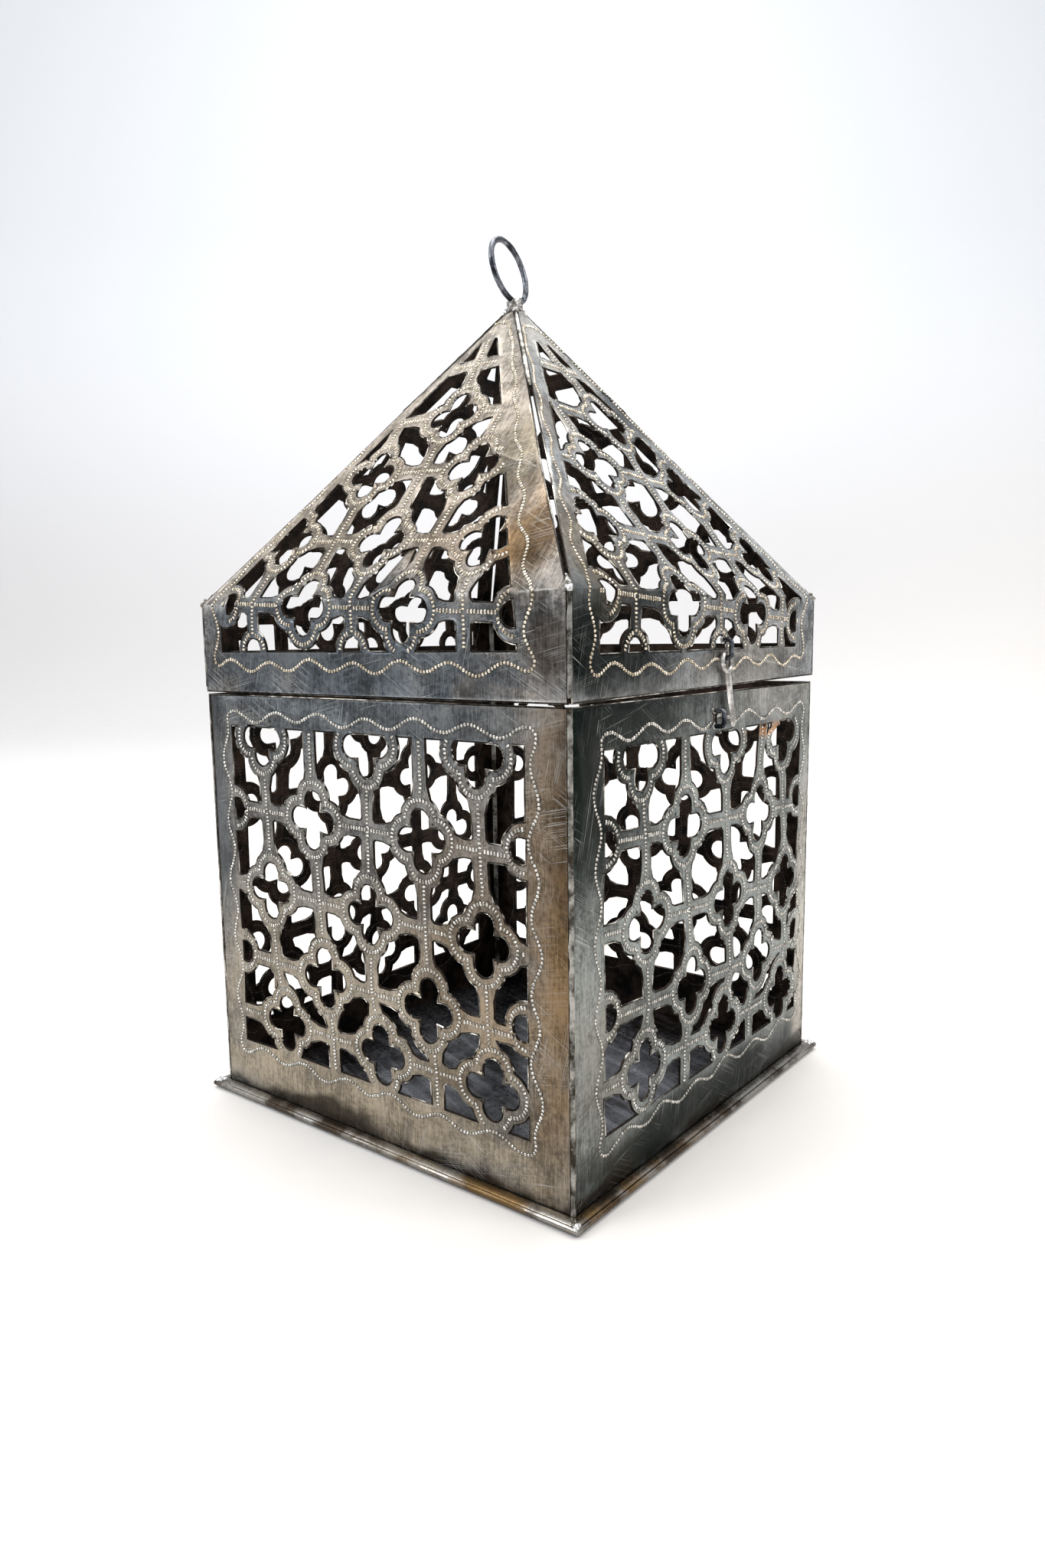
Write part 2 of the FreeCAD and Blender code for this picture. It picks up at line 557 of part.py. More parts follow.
def staple(x, z_low, z_high, wall_y):
    """A U of wire standing off the front in the YZ plane, its feet on the sheet at wall_y."""
    bend, out = STAPLE_BEND, -BODY_HALF - STAPLE_OUT
    dip = bend * (1 - math.cos(math.radians(45)))
    low = [V(x, wall_y, z_low), V(x, out + bend, z_low)]
    high = [V(x, out + bend, z_high), V(x, wall_y, z_high)]
    corners = [(V(x, out + dip, z_low + dip), V(x, out, z_low + bend)),
               (V(x, out + dip, z_high - dip), V(x, out, z_high - bend))]
    edges = [Part.makeLine(*low), Part.Arc(low[1], *corners[0]).toShape(),
             Part.makeLine(corners[0][1], corners[1][1]),
             Part.Arc(corners[1][1], corners[1][0], high[0]).toShape(), Part.makeLine(*high)]
    return wire_along(Part.Wire(edges), STAPLE_WIRE)


def lid_staple():
    return staple(HOOK_X, HOOK_Z, HOOK_Z + 6.6, -LID_HALF)


def catch_staple():
    return staple(CATCH_X, CATCH_Z - 2.9, CATCH_Z + 2.9, -BODY_HALF)


def hook():
    """The hook: an eye, a flat strip with a round end, and a finger to the left, leaned as it rests."""
    y = -BODY_HALF - HOOK_OUT
    back = y - STRIP_THICK / 2
    eye_drop = EYE_R - HOOK_WIRE - STAPLE_WIRE - EYE_PLAY
    pivot = V(HOOK_X, y, HOOK_Z)
    eye = Part.makeTorus(EYE_R, HOOK_WIRE, pivot - V(0, 0, eye_drop), V(0, 1, 0))
    end = HOOK_Z - HOOK_REACH - HOOK_TAIL + STRIP_HALF
    length = HOOK_Z - eye_drop - EYE_R - end
    strip = Part.makeBox(2 * STRIP_HALF, STRIP_THICK, length, V(HOOK_X - STRIP_HALF, back, end))
    round_end = Part.makeCylinder(STRIP_HALF, STRIP_THICK, V(HOOK_X, back, end), V(0, 1, 0))
    finger = Part.makeCylinder(HOOK_WIRE, HOOK_TIP, V(HOOK_X, y, HOOK_Z - HOOK_REACH), V(-1, 0, 0))
    shape = eye.fuse([strip, round_end, finger]).removeSplitter()
    shape.rotate(pivot, V(0, -1, 0), HOOK_REST)
    return shape


# ---------------------------------------------------------------- all the nodes
def nodes():
    parts = {"base_tray": tray(), "base_corner_solder": Part.makeCompound(tray_solder())}
    for side in SIDES:
        parts["wall_" + side] = wall(side)
        parts["lid_panel_" + side] = lid_panel(side)
    corners = {"front_left": "front", "front_right": "right", "back_right": "back", "back_left": "left"}
    body_seam = corner_seam(BODY_HALF, TRAY_FLOOR, WALL_TOP)
    skirt_seam = lid_seam()
    upper_hip = hip_solder(*HIP_SOLDER)
    for name, side in corners.items():
        parts["wall_seam_" + name] = turn_to(body_seam, side)
        parts["lid_seam_" + name] = turn_to(skirt_seam, side)
        parts["hip_solder_" + name] = turn_to(upper_hip, side)
    for name, x in (("left", -HINGE_X), ("right", HINGE_X)):
        parts["hinge_body_leaf_" + name] = body_leaf(x)
        parts["hinge_lid_leaf_" + name] = lid_leaf(x)
        parts["hinge_pin_" + name] = hinge_pin(x)
    parts["hanging_ring"] = ring()
    parts["apex_solder"] = apex_solder()
    parts["latch_pivot_staple"] = lid_staple()
    parts["latch_catch_staple"] = catch_staple()
    parts["latch_hook"] = hook()
    return parts


os.makedirs("parts", exist_ok=True)
for node_name, node_shape in nodes().items():
    node_shape.exportStep(f"parts/{node_name}.step")
    print(node_name, len(node_shape.Solids), node_shape.isValid(), round(node_shape.Volume, 1))
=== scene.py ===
"""Looks for the pierced sheet-metal lantern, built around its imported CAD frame.

The frame is in metres. The sheets are laid out here in millimetres, in the same flat patterns as
in the CAD source: x to the right, y up, h out of the sheet, as seen from outside.
"""
import math
import random

import bmesh
import bpy
from mathutils import Matrix, Vector, noise
from mathutils.bvhtree import BVHTree


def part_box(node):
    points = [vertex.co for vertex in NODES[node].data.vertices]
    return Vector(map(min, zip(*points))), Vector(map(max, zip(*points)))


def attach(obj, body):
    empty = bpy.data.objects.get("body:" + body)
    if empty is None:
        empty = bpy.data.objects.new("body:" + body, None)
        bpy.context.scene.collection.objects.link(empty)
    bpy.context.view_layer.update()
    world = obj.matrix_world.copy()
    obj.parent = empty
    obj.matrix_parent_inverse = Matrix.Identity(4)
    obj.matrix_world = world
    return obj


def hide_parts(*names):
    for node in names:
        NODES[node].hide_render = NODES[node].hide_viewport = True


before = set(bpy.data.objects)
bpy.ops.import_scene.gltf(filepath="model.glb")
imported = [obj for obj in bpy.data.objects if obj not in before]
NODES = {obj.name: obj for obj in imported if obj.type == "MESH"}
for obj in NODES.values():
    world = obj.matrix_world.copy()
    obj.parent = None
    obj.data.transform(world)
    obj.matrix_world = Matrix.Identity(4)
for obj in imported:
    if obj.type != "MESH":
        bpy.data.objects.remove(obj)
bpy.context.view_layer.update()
MM = 0.001

# ---- sizes from the frame, in mm
BODY_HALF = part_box("wall_right")[1].x / MM
WALL_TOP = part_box("wall_front")[1].z / MM
WALL_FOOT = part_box("wall_front")[0].z / MM
LID_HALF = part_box("lid_panel_right")[1].x / MM
LID_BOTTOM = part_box("lid_panel_front")[0].z / MM
TRAY_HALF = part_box("base_tray")[1].x / MM
RIM_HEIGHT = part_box("base_tray")[1].z / MM
SHEET = 0.6
SKIRT = 34.6
ROOF_RISE = 117.4
EAVE = LID_BOTTOM + SKIRT
APEX = EAVE + ROOF_RISE
ROOF_SLOPE = math.hypot(LID_HALF, ROOF_RISE)
ROOF_TILT = math.atan2(ROOF_RISE, LID_HALF)
SIDES = {"front": 0, "right": 90, "back": 180, "left": -90}
CORNERS = {"front_left": "front", "front_right": "right", "back_right": "back", "back_left": "left"}
LIFTED_CORNER = 2.0
HIP_SOLDER = (112.0, 55.0)
EAVE_DROP = 6.0
RING_R = 12.2
RING_WIRE = 1.2
RING_TURN = 6.0
RING_LEAN = 11.0
HINGE_X = 52.0
PIN_R = 0.8
STAPLE_WIRE = 0.9
STAPLE_OUT = 4.0
STAPLE_BEND = 1.3
HOOK_WIRE = 0.9
HOOK_OUT = 1.9
HOOK_X = 6.5
HOOK_Z = LID_BOTTOM + 11.5
HOOK_REACH = 22.0
HOOK_TIP = 5.0
HOOK_TAIL = 5.0
STRIP_HALF = 2.1
STRIP_THICK = 1.0
HOOK_REST = 15.0
EYE_R = 3.5
EYE_PLAY = 0.05
EYE_DROP = EYE_R - HOOK_WIRE - STAPLE_WIRE - EYE_PLAY
STRIP_TOP = EYE_DROP + EYE_R + 0.2
STRIP_LENGTH = HOOK_REACH + HOOK_TAIL - STRIP_TOP
CATCH_X = 1.5
CATCH_Z = HOOK_Z - HOOK_REACH

# ---- the lattice's layout
FOIL_TIP = 11.1
FOIL_CUSP = 3.9
STRAP = 5.5
STRAP_CUSP = 5.25
EYELET_R = 9.7
ARCH_R = 8.4
WALL_WINDOWS = {
    "left": {"x": (14.4, 162.0), "depth": (12.6, 142.8)},
    "front": {"x": (18.6, 169.2), "depth": (15.0, 143.4)},
    "right": {"x": (15.0, 165.0), "depth": (13.6, 142.6)},
    "back": {"x": (15.6, 164.4), "depth": (14.2, 143.0)},
}
WALL_COLUMNS = {
    "left": ((33.0, 35.5, 40.5), (59.0, 64.8, 67.8), (90.0, 90.0, 94.0), (116.2, 118.4, 121.2),
             (142.4, 145.0, 147.0)),
    "front": ((41.4, 45.6, 43.2), (67.5, 76.2, 71.4), (100.5, 107.0, 101.0), (129.5, 132.5, 124.5),
              (152.4, 158.0, 153.6)),
    "right": ((34.5, 36.5, 35.5), (62.0, 64.0, 63.5), (91.0, 89.5, 90.5), (118.5, 119.0, 117.0),
              (146.0, 144.5, 145.0)),
    "back": ((33.5, 35.5, 36.5), (63.0, 61.0, 62.5), (89.0, 92.0, 91.0), (117.0, 116.0, 118.5),
             (144.0, 147.0, 146.5)),
}
WALL_ROWS = {
    "left": ((16.6, 16.4), (44.6, 49.0), (75.8, 80.6), (105.6, 109.4), (130.2, 130.0)),
    "front": ((18.2, 20.8), (43.8, 52.8), (73.8, 85.0), (103.2, 113.6), (127.2, 133.6)),
    "right": ((18.0, 18.6), (47.4, 46.2), (78.6, 80.0), (106.8, 107.6), (131.4, 130.2)),
    "back": ((17.4, 18.6), (46.0, 47.8), (78.8, 79.4), (106.0, 108.2), (130.4, 131.0)),
}
WALL_EYELETS = {
    "left": ((45.6, 105.0), (46.2, 105.0)),
    "front": ((45.0, 103.2), (48.6, 107.8)),
    "right": ((47.2, 106.6), (46.4, 107.2)),
    "back": ((46.0, 106.4), (47.6, 108.0)),
}
LID_COLUMNS = {
    "left": ((32.0, 40.0), (61.5, 62.5), (86.5, 90.5), (111.5, 116.5), (139.0, 138.0)),
    "front": ((37.0, 42.0), (68.0, 68.0), (95.5, 99.4), (121.0, 129.0), (149.0, 146.0)),
    "right": ((34.0, 41.0), (62.5, 63.5), (90.5, 91.0), (117.5, 118.0), (144.0, 140.0)),
    "back": ((33.0, 41.0), (61.0, 64.0), (89.5, 90.0), (116.0, 117.5), (142.0, 140.0)),
}
LID_ROWS = {
    "left": ((0.8, -8.0), (32.6, 17.7), (64.5, 53.0), (91.5, 81.0), (117.0, 110.5)),
    "front": ((0.6, -10.6), (31.0, 16.5), (63.5, 50.5), (93.0, 79.5), (115.5, 109.0)),
    "right": ((-1.0, -6.0), (28.5, 22.0), (60.5, 55.0), (88.0, 83.5), (114.5, 112.5)),
    "back": ((-2.0, -5.0), (27.0, 23.5), (59.0, 56.5), (87.5, 85.0), (114.0, 112.0)),
}
ROW_COLUMNS = ((1, 2, 3, 4, 5), (1, 2, 3, 4, 5), (2, 3, 4), (3,), (3,))
TIP_LEAN = {"left": -2.0, "front": -6.0, "right": 0.5, "back": -0.5}
LID_WINDOWS = {
    "left": ((12.6, -18.4), (12.8, 4.0), (84.0, 127.5), (91.5, 127.5), (159.0, -1.0), (160.6, -18.4)),
    "front": ((16.2, -19.6), (15.4, 5.0), (86.6, 125.0), (94.6, 125.6), (167.0, 0.0), (162.0, -19.6)),
    "right": ((14.4, -18.8), (14.6, 4.0), (86.0, 127.0), (93.8, 127.0), (166.0, 1.0), (163.6, -18.8)),
    "back": ((15.0, -18.6), (15.0, 4.5), (86.4, 126.6), (93.4, 126.6), (165.6, 1.5), (164.0, -18.6)),
}

# ---- beads and edges, in mm
SHEET_SLOT, BEAD_SLOT, SHADE_AND_GRIME_SLOT, INSIDE_SLOT, EDGE_SLOT, DENT_SLOT = range(6)
BEAD_PITCH = 1.42
BEAD_R = 0.56
BEAD_HEIGHT = 0.45
BEAD_APART = 1.1  # no two beads are closer than this
BORDER_LONG = 1.10  # how much wider than it is long a bead of the border is
LATTICE_LONG = 1.42
BEAD_LINE = 0.6  # how far out the beads run on a quatrefoil's strap
BEAD_CLEAR = 1.3  # between a bar's beads and those round a quatrefoil
EYELET_LINE = EYELET_R - 2.4
ARCH_LINE = ARCH_R - 2.0
BAR_LEAD = 30.0  # how far a bar's line runs on beyond the lattice, to be cut off at the window
# The bands that a cut edge is made of: each one's slot, its inset, and the drop of its outer line.
# The outermost band, at the cut edge, is pale worn metal with a painted highlight; the next is a dark
# line of painted shade and grime just inside it.
EDGE_BANDS = ((EDGE_SLOT, 0.30, 0.40), (SHADE_AND_GRIME_SLOT, 0.26, 0.30), (SHEET_SLOT, 0.7, 0.20))
WAVE_HEIGHT = 0.55  # hand-beaten waviness of the sheets
FLAP = (138.0, -16.0, 1.8)  # where the front window's top edge is bent out, and how far
GRID = 9.0  # spacing of the cuts that let a sheet wave


def hand(index):
    """A number from -1 to 1 that differs from one index to the next, like handwork does."""
    return math.sin(2.4 * index + 0.7 * index * index)


def ripple(x, y, z):
    """Smooth noise from -1 to 1, the same on every run."""
    return noise.noise(Vector((x, y, z)))


def between(pair, part):
    return pair[0] + (pair[1] - pair[0]) * part


def round_turns(count):
    return [2 * math.pi * k / count for k in range(count)]


def column_x(column, row):
    top, low, foot = column
    return between((top, low), row / 3) if row <= 3 else foot


# ---- flat pattern to world and back
def side_turn(side, way=1):
    return Matrix.Rotation(way * math.radians(SIDES[side]), 3, "Z")


def sheet_tilt(kind, y):
    return ROOF_TILT if kind == "lid" and y > 0 else math.pi / 2


def sheet_corner(kind):
    if kind == "lid":
        return Vector((-LID_HALF, -LID_HALF, EAVE))
    return Vector((-BODY_HALF, -BODY_HALF, WALL_TOP))


def to_world(kind, side, x, y, h=0.0):
    """A point of a flat pattern, in metres in the frame."""
    spot = Matrix.Rotation(sheet_tilt(kind, y), 3, "X") @ Vector((x, y, h)) + sheet_corner(kind)
    return side_turn(side) @ spot * MM


def outward(kind, side, y):
    up = Matrix.Rotation(sheet_tilt(kind, y), 3, "X") @ Vector((0, 0, 1))
    return side_turn(side) @ up


def to_flat(kind, side, point):
    """The flat pattern's (x, y, h) of a point of the frame."""
    spot = side_turn(side, -1) @ (point / MM) - sheet_corner(kind)
    y_guess = 1.0 if kind == "lid" and spot.z > -0.02 else -1.0
    flat = Matrix.Rotation(-sheet_tilt(kind, y_guess), 3, "X") @ spot
    return flat.x, flat.y, flat.z


def wave(kind, side, x, y):
    """How far the hand-beaten sheet stands off its true plane, nothing at its borders."""
    number = list(SIDES).index(side)
    if kind == "wall":
        edge = min(x, 2 * BODY_HALF - x, -y, y + WALL_TOP - WALL_FOOT)
    elif y > 0:
        inset = y * LID_HALF / ROOF_SLOPE
        to_hip = (min(x, 2 * LID_HALF - x) - inset) * ROOF_RISE / ROOF_SLOPE
        edge = min(to_hip, y + 1.5)
    else:
        edge = min(x, 2 * LID_HALF - x, 1.5 - y, y + SKIRT)
    fade = max(0.0, min(1.0, (edge - 2.0) / 14.0))
    fade = fade * fade * (3 - 2 * fade)
    broad = ripple(x / 34, y / 34, 7.3 * number + (3.1 if kind == "lid" else 0.0))
    fine = ripple(x / 11, y / 11, 2.7 * number + (9.1 if kind == "lid" else 0.0))
    height = fade * WAVE_HEIGHT * (broad * 1.5 + fine * 0.42)
    if (kind, side) == ("wall", "front"):
        height += FLAP[2] * math.exp(-((x - FLAP[0]) / 11.0) ** 2 - ((y - FLAP[1]) / 2.6) ** 2)
    return height


# ---- bead lines
def arc_through(a, b, c, count):
    """Points along the circle through three points, from a to c by way of b."""
    (ax, ay), (bx, by), (cx, cy) = a, b, c
    d = 2 * (ax * (by - cy) + bx * (cy - ay) + cx * (ay - by))
    ux = ((ax ** 2 + ay ** 2) * (by - cy) + (bx ** 2 + by ** 2) * (cy - ay)
          + (cx ** 2 + cy ** 2) * (ay - by)) / d
    uy = ((ax ** 2 + ay ** 2) * (cx - bx) + (bx ** 2 + by ** 2) * (ax - cx)
          + (cx ** 2 + cy ** 2) * (bx - ax)) / d
    radius = math.hypot(ax - ux, ay - uy)
    start = math.atan2(ay - uy, ax - ux)
    sweep = (math.atan2(cy - uy, cx - ux) - start) % (2 * math.pi)
    return [(ux + radius * math.cos(start + sweep * k / count),
             uy + radius * math.sin(start + sweep * k / count)) for k in range(count + 1)]


def foil_line(centre, index, out):
    """The quatrefoil opening's outline moved outwards, with the same small differences as in CAD."""
    tips = [FOIL_TIP * (1 + 0.05 * hand(4 * index + lobe)) for lobe in range(4)]
    cusp = FOIL_CUSP * (1 + 0.06 * hand(index + 31)) + STRAP_CUSP * out
    turn = math.radians(4.0 * hand(index + 57))
    points = []
    for quarter, tip in enumerate(tips):
        angle = turn + quarter * math.pi / 2
        for x, y in arc_through((cusp, -cusp), (tip + STRAP * out, 0), (cusp, cusp), 16)[:-1]:
            points.append((centre[0] + x * math.cos(angle) - y * math.sin(angle),
                           centre[1] + x * math.sin(angle) + y * math.cos(angle)))
    return points + points[:1]


def walk(line, pitch):
    """Points at an even pitch along a line of points, each with the line's direction there."""
    spots, left = [], pitch / 2
    for a, b in zip(line, line[1:]):
        length = math.dist(a, b)
        while left <= length:
            run_x, run_y = (b[0] - a[0]) / length, (b[1] - a[1]) / length
            spots.append((a[0] + run_x * left, a[1] + run_y * left, run_x, run_y))
            left += pitch
        left -= length
    return spots


def wavy(corners, swing, length, phase):
    """A closed line through rounded corners that swings to both sides, as a punch followed by eye.

    swing is a function of the height, because the lid's line swings less near the tip.
    """
    dense = walk(list(corners) + [corners[0]], 0.8)
    count = len(dense)
    smooth = []
    for k in range(count):
        near = [dense[(k + step) % count] for step in range(-5, 6)]
        smooth.append((sum(p[0] for p in near) / 11, sum(p[1] for p in near) / 11))
    total = sum(math.dist(smooth[k], smooth[k - 1]) for k in range(count))
    turns = max(1, round(total / length))
    line = []
    for k in range(count):
        a, b = smooth[k - 1], smooth[(k + 1) % count]
        size = math.dist(a, b) or 1.0
        nx, ny = (b[1] - a[1]) / size, -(b[0] - a[0]) / size
        part = k / count
        slow = math.sin(2 * math.pi * round(turns * 0.43) * part + 2 * phase)
        out = swing(smooth[k][1]) * (math.sin(2 * math.pi * turns * part + phase) + 0.3 * slow)
        line.append((smooth[k][0] + nx * out, smooth[k][1] + ny * out))
    return line + line[:1]


def inside(polygon, x, y):
    hit = False
    for (ax, ay), (bx, by) in zip(polygon, polygon[1:] + polygon[:1]):
        if (ay > y) != (by > y) and x < ax + (bx - ax) * (y - ay) / (by - ay):
            hit = not hit
    return hit


def lattice_lines(grid, is_foil, runs, seed):
    """Bead lines round every quatrefoil and down the middle of every bar."""
    lines = []
    for number, (key, centre) in enumerate(sorted(grid.items())):
        if is_foil(key):
            lines.append(foil_line(centre, number + seed, BEAD_LINE))
    clear = FOIL_TIP + STRAP * BEAD_LINE + BEAD_CLEAR
    for run in runs:
        points = [grid.get(stop, stop) for stop in run]
        foils = [stop in grid and is_foil(stop) for stop in run]
        for k in range(len(points) - 1):
            a, b = points[k], points[k + 1]
            length = math.dist(a, b)
            start = clear if foils[k] else 0.0
            stop = length - (clear if foils[k + 1] else 0.0)
            if stop - start > BEAD_PITCH:
                lines.append([tuple(p + (q - p) * at / length for p, q in zip(a, b))
                              for at in (start, stop)])
    return lines


def half_circle(x, y, radius, facing):
    turns = [math.radians(facing - 88 + 176 * k / 14) for k in range(15)]
    return [(x + radius * math.cos(t), y + radius * math.sin(t)) for t in turns]


def wall_foil(key):
    return sum(key) % 2 == 1


def wall_swing(y):
    return 1.9


def wall_lines(side):
    """A wall's bead lines on its lattice, the line round its window, and the window."""
    width = 2 * BODY_HALF
    left, right = WALL_WINDOWS[side]["x"]
    top, bottom = (-depth for depth in WALL_WINDOWS[side]["depth"])
    grid = {}
    for i, column in enumerate(WALL_COLUMNS[side], 1):
        for j, row in enumerate(WALL_ROWS[side]):
            if j or i % 2:
                x = column_x(column, j)
                grid[i, j] = (x, -between(row, x / width))
    runs = []
    for i in range(1, 6):
        run = [(i, j) for j in range(5) if (i, j) in grid]
        first = [] if i % 2 else [(grid[run[0]][0], top + 1)]
        runs.append(first + run + [(grid[run[-1]][0], bottom - 1)])
    for j, row in enumerate(WALL_ROWS[side][1:], 1):
        ends = [(x, -between(row, x / width)) for x in (left, right)]
        runs.append([ends[0]] + [(i, j) for i in range(1, 6)] + [ends[1]])
    seed = 40 * list(SIDES).index(side)
    lines = lattice_lines(grid, wall_foil, runs, seed)
    for x, depths, facing in zip((left, right), WALL_EYELETS[side], (0, 180)):
        lines += [half_circle(x, -depth, EYELET_LINE, facing) for depth in depths]
    border = [(left - 3.6, bottom - 4.6), (right + 3.8, bottom - 4.2), (right + 3.8, top + 4.4),
              (left - 3.8, top + 4.4)]
    window = [(left, bottom), (right, bottom), (right, top), (left, top)]
    return lines, wavy(border, wall_swing, 24.0, 0.7 + seed), window


def lid_foil(key):
    if key[1] == 0:
        return key[0] % 2 == 0
    return sum(key) % 2 == 0 and key != (3, 4)


def lid_swing(y):
    return 1.9 if y < 0 else max(0.5, 1.5 - y / 110)


def lid_lines(side):
    """The same for a side of the lid, whose window runs over the eave up to the tip."""
    width = 2 * LID_HALF
    window = list(LID_WINDOWS[side])
    (left, foot), right = window[0], window[-1][0]
    grid = {}
    for j, row in enumerate(LID_ROWS[side]):
        for i in ROW_COLUMNS[j]:
            x = between(LID_COLUMNS[side][i - 1], min(j, 3) / 3) + TIP_LEAN[side] * (j == 4)
            grid[i, j] = (x, between(row, x / width))
    runs = []
    for i in range(1, 6):
        run = sorted(key for key in grid if key[0] == i)
        top_x, top_y = grid[run[-1]]
        lean = TIP_LEAN[side] if i == 3 else 0.0
        last = [] if i in (1, 5) else [(top_x + lean, top_y + BAR_LEAD)]
        first = [] if i in (2, 4) else [(LID_COLUMNS[side][i - 1][0], foot - 1)]
        runs.append(first + run + last)
    for j, row in enumerate(LID_ROWS[side]):
        run = sorted(key for key in grid if key[1] == j)
        ends = [(x, between(row, x / width))
                for x in (grid[run[0]][0] - BAR_LEAD, grid[run[-1]][0] + BAR_LEAD)]
        runs.append([ends[0]] + run + [ends[1]])
    seed = 40 * list(SIDES).index(side) + 20
    lines = lattice_lines(grid, lid_foil, runs, seed)
    for x, facing in ((left + 3.2, 10), (right, 185)):
        lines.append(half_circle(x, between(LID_ROWS[side][0], x / width), EYELET_LINE, facing))
    for k in (0, 2):
        lines.append(half_circle(LID_COLUMNS[side][k][0], foot, ARCH_LINE, 90))
    margins = ((-4.6, -5.6), (-3.0, 3), (-2.2, 9), (2.6, 9), (5.6, 2), (6.6, -5.6))
    border = [(x + right_by, y + up_by) for (x, y), (right_by, up_by) in zip(window, margins)]
    border = border[:1] + border[:0:-1]
    return lines, wavy(border, lid_swing, 23.0, 0.4 + seed), window


# ---- mesh helpers
def new_object(name, data):
    made = bpy.data.objects.new(name, data)
    bpy.context.scene.collection.objects.link(made)
    return made


def add_piece(name, bm, materials, body, replaced, sharp, closed=True):
    """Turns a bmesh into a shaded piece that rides on a body, with its sharp edges kept.

    closed is for pieces made of closed skins alone, whose faces are then turned outwards.
    """
    if closed:
        bmesh.ops.recalc_face_normals(bm, faces=bm.faces)
    limit = math.radians(sharp)
    for face in bm.faces:
        face.smooth = True
    for edge in bm.edges:
        edge.smooth = len(edge.link_faces) == 2 and edge.calc_face_angle(0.0) < limit
    mesh = bpy.data.meshes.new(name)
    bm.to_mesh(mesh)
    bm.free()
    for material in materials:
        mesh.materials.append(material)
    piece = new_object(name, mesh)
    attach(piece, body)
    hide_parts(*replaced)


def add_solder(name, bm, materials, body, node):
    add_piece(name, bm, materials, body, [node], 70.0)


def add_fitting(name, bm, materials, body, node):
    add_piece(name, bm, materials, body, [node], 60.0)


def node_mesh(node):
    """A working copy of a CAD node's mesh, welded into one skin."""
    bm = bmesh.new()
    bm.from_mesh(NODES[node].data)
    bmesh.ops.remove_doubles(bm, verts=bm.verts, dist=2e-6)
    return bm


def skin(bm, rows, loops=True, join_ends=False):
    """Quads from each row of points to the next. The rows are closed loops, or open lines.

    The first and the last loop get a cap, unless they are joined to each other.
    """
    made = [[bm.verts.new(point) for point in row] for row in rows]
    pairs = list(zip(made, made[1:]))
    if join_ends:
        pairs.append((made[-1], made[0]))
    for a, b in pairs:
        for k in range(len(a) if loops else len(a) - 1):
            n = (k + 1) % len(a)
            bm.faces.new((a[k], a[n], b[n], b[k]))
    if loops and not join_ends:
        bm.faces.new(made[0][::-1])
        bm.faces.new(made[-1])


def wire(bm, path, normal, section, closed=False):
    """Skins a section round a flat path, in mm. normal is square to the path's plane."""
    count = len(path)
    rows = []
    for k, point in enumerate(path):
        before = path[k - 1] if closed or k else path[k]
        after = path[(k + 1) % count] if closed or k < count - 1 else path[k]
        across = (after - before).normalized().cross(normal)
        rows.append([(point + across * a + normal * b) * MM for a, b in section(k / (count - 1))])
    skin(bm, rows, True, closed)


def round_section(radius, flat=1.0, rough=0.05, seed=0.0, sides=16, taper=None):
    """A wire's section: round, or flattened by the hammer, with small differences along it."""
    def section(part):
        grow = 1.0 + rough * ripple(part * 14.0, seed, 0.0)
        grow *= taper(part) if taper else 1.0
        points = []
        for t in round_turns(sides):
            at = Vector((math.cos(t), math.sin(t) + part * 30, seed))
            dent = grow * (1.0 + rough * noise.noise(at))
            points.append((radius * dent * math.cos(t), radius * flat * dent * math.sin(t)))
        return points
    return section


def lump(bm, centre, size, seed, rough=0.22, squash=(1, 1, 1), material=0):
    """A lump of solder in mm: a ball pulled out of round, with small wrinkles."""
    made = bmesh.ops.create_icosphere(bm, subdivisions=4, radius=1.0)["verts"]
    for vert in made:
        way = vert.co.normalized()
        swell = 1.0 + rough * noise.noise(way * 1.6 + Vector((seed, 0, 0)))
        swell += rough * 0.5 * noise.noise(way * 4.5 + Vector((0, seed, 0)))
        vert.co = (centre + way * Vector(squash) * swell * size) * MM
    for face in {face for vert in made for face in vert.link_faces}:
        face.material_index = material


def lumps(bm, place, turn, shifts, seed, **look):
    """Lumps at shifts from a place, turned with it. Each shift is ((x, y, z), size)."""
    for number, (shift, size) in enumerate(shifts):
        lump(bm, turn @ (place + Vector(shift)), size, seed + number, **look)


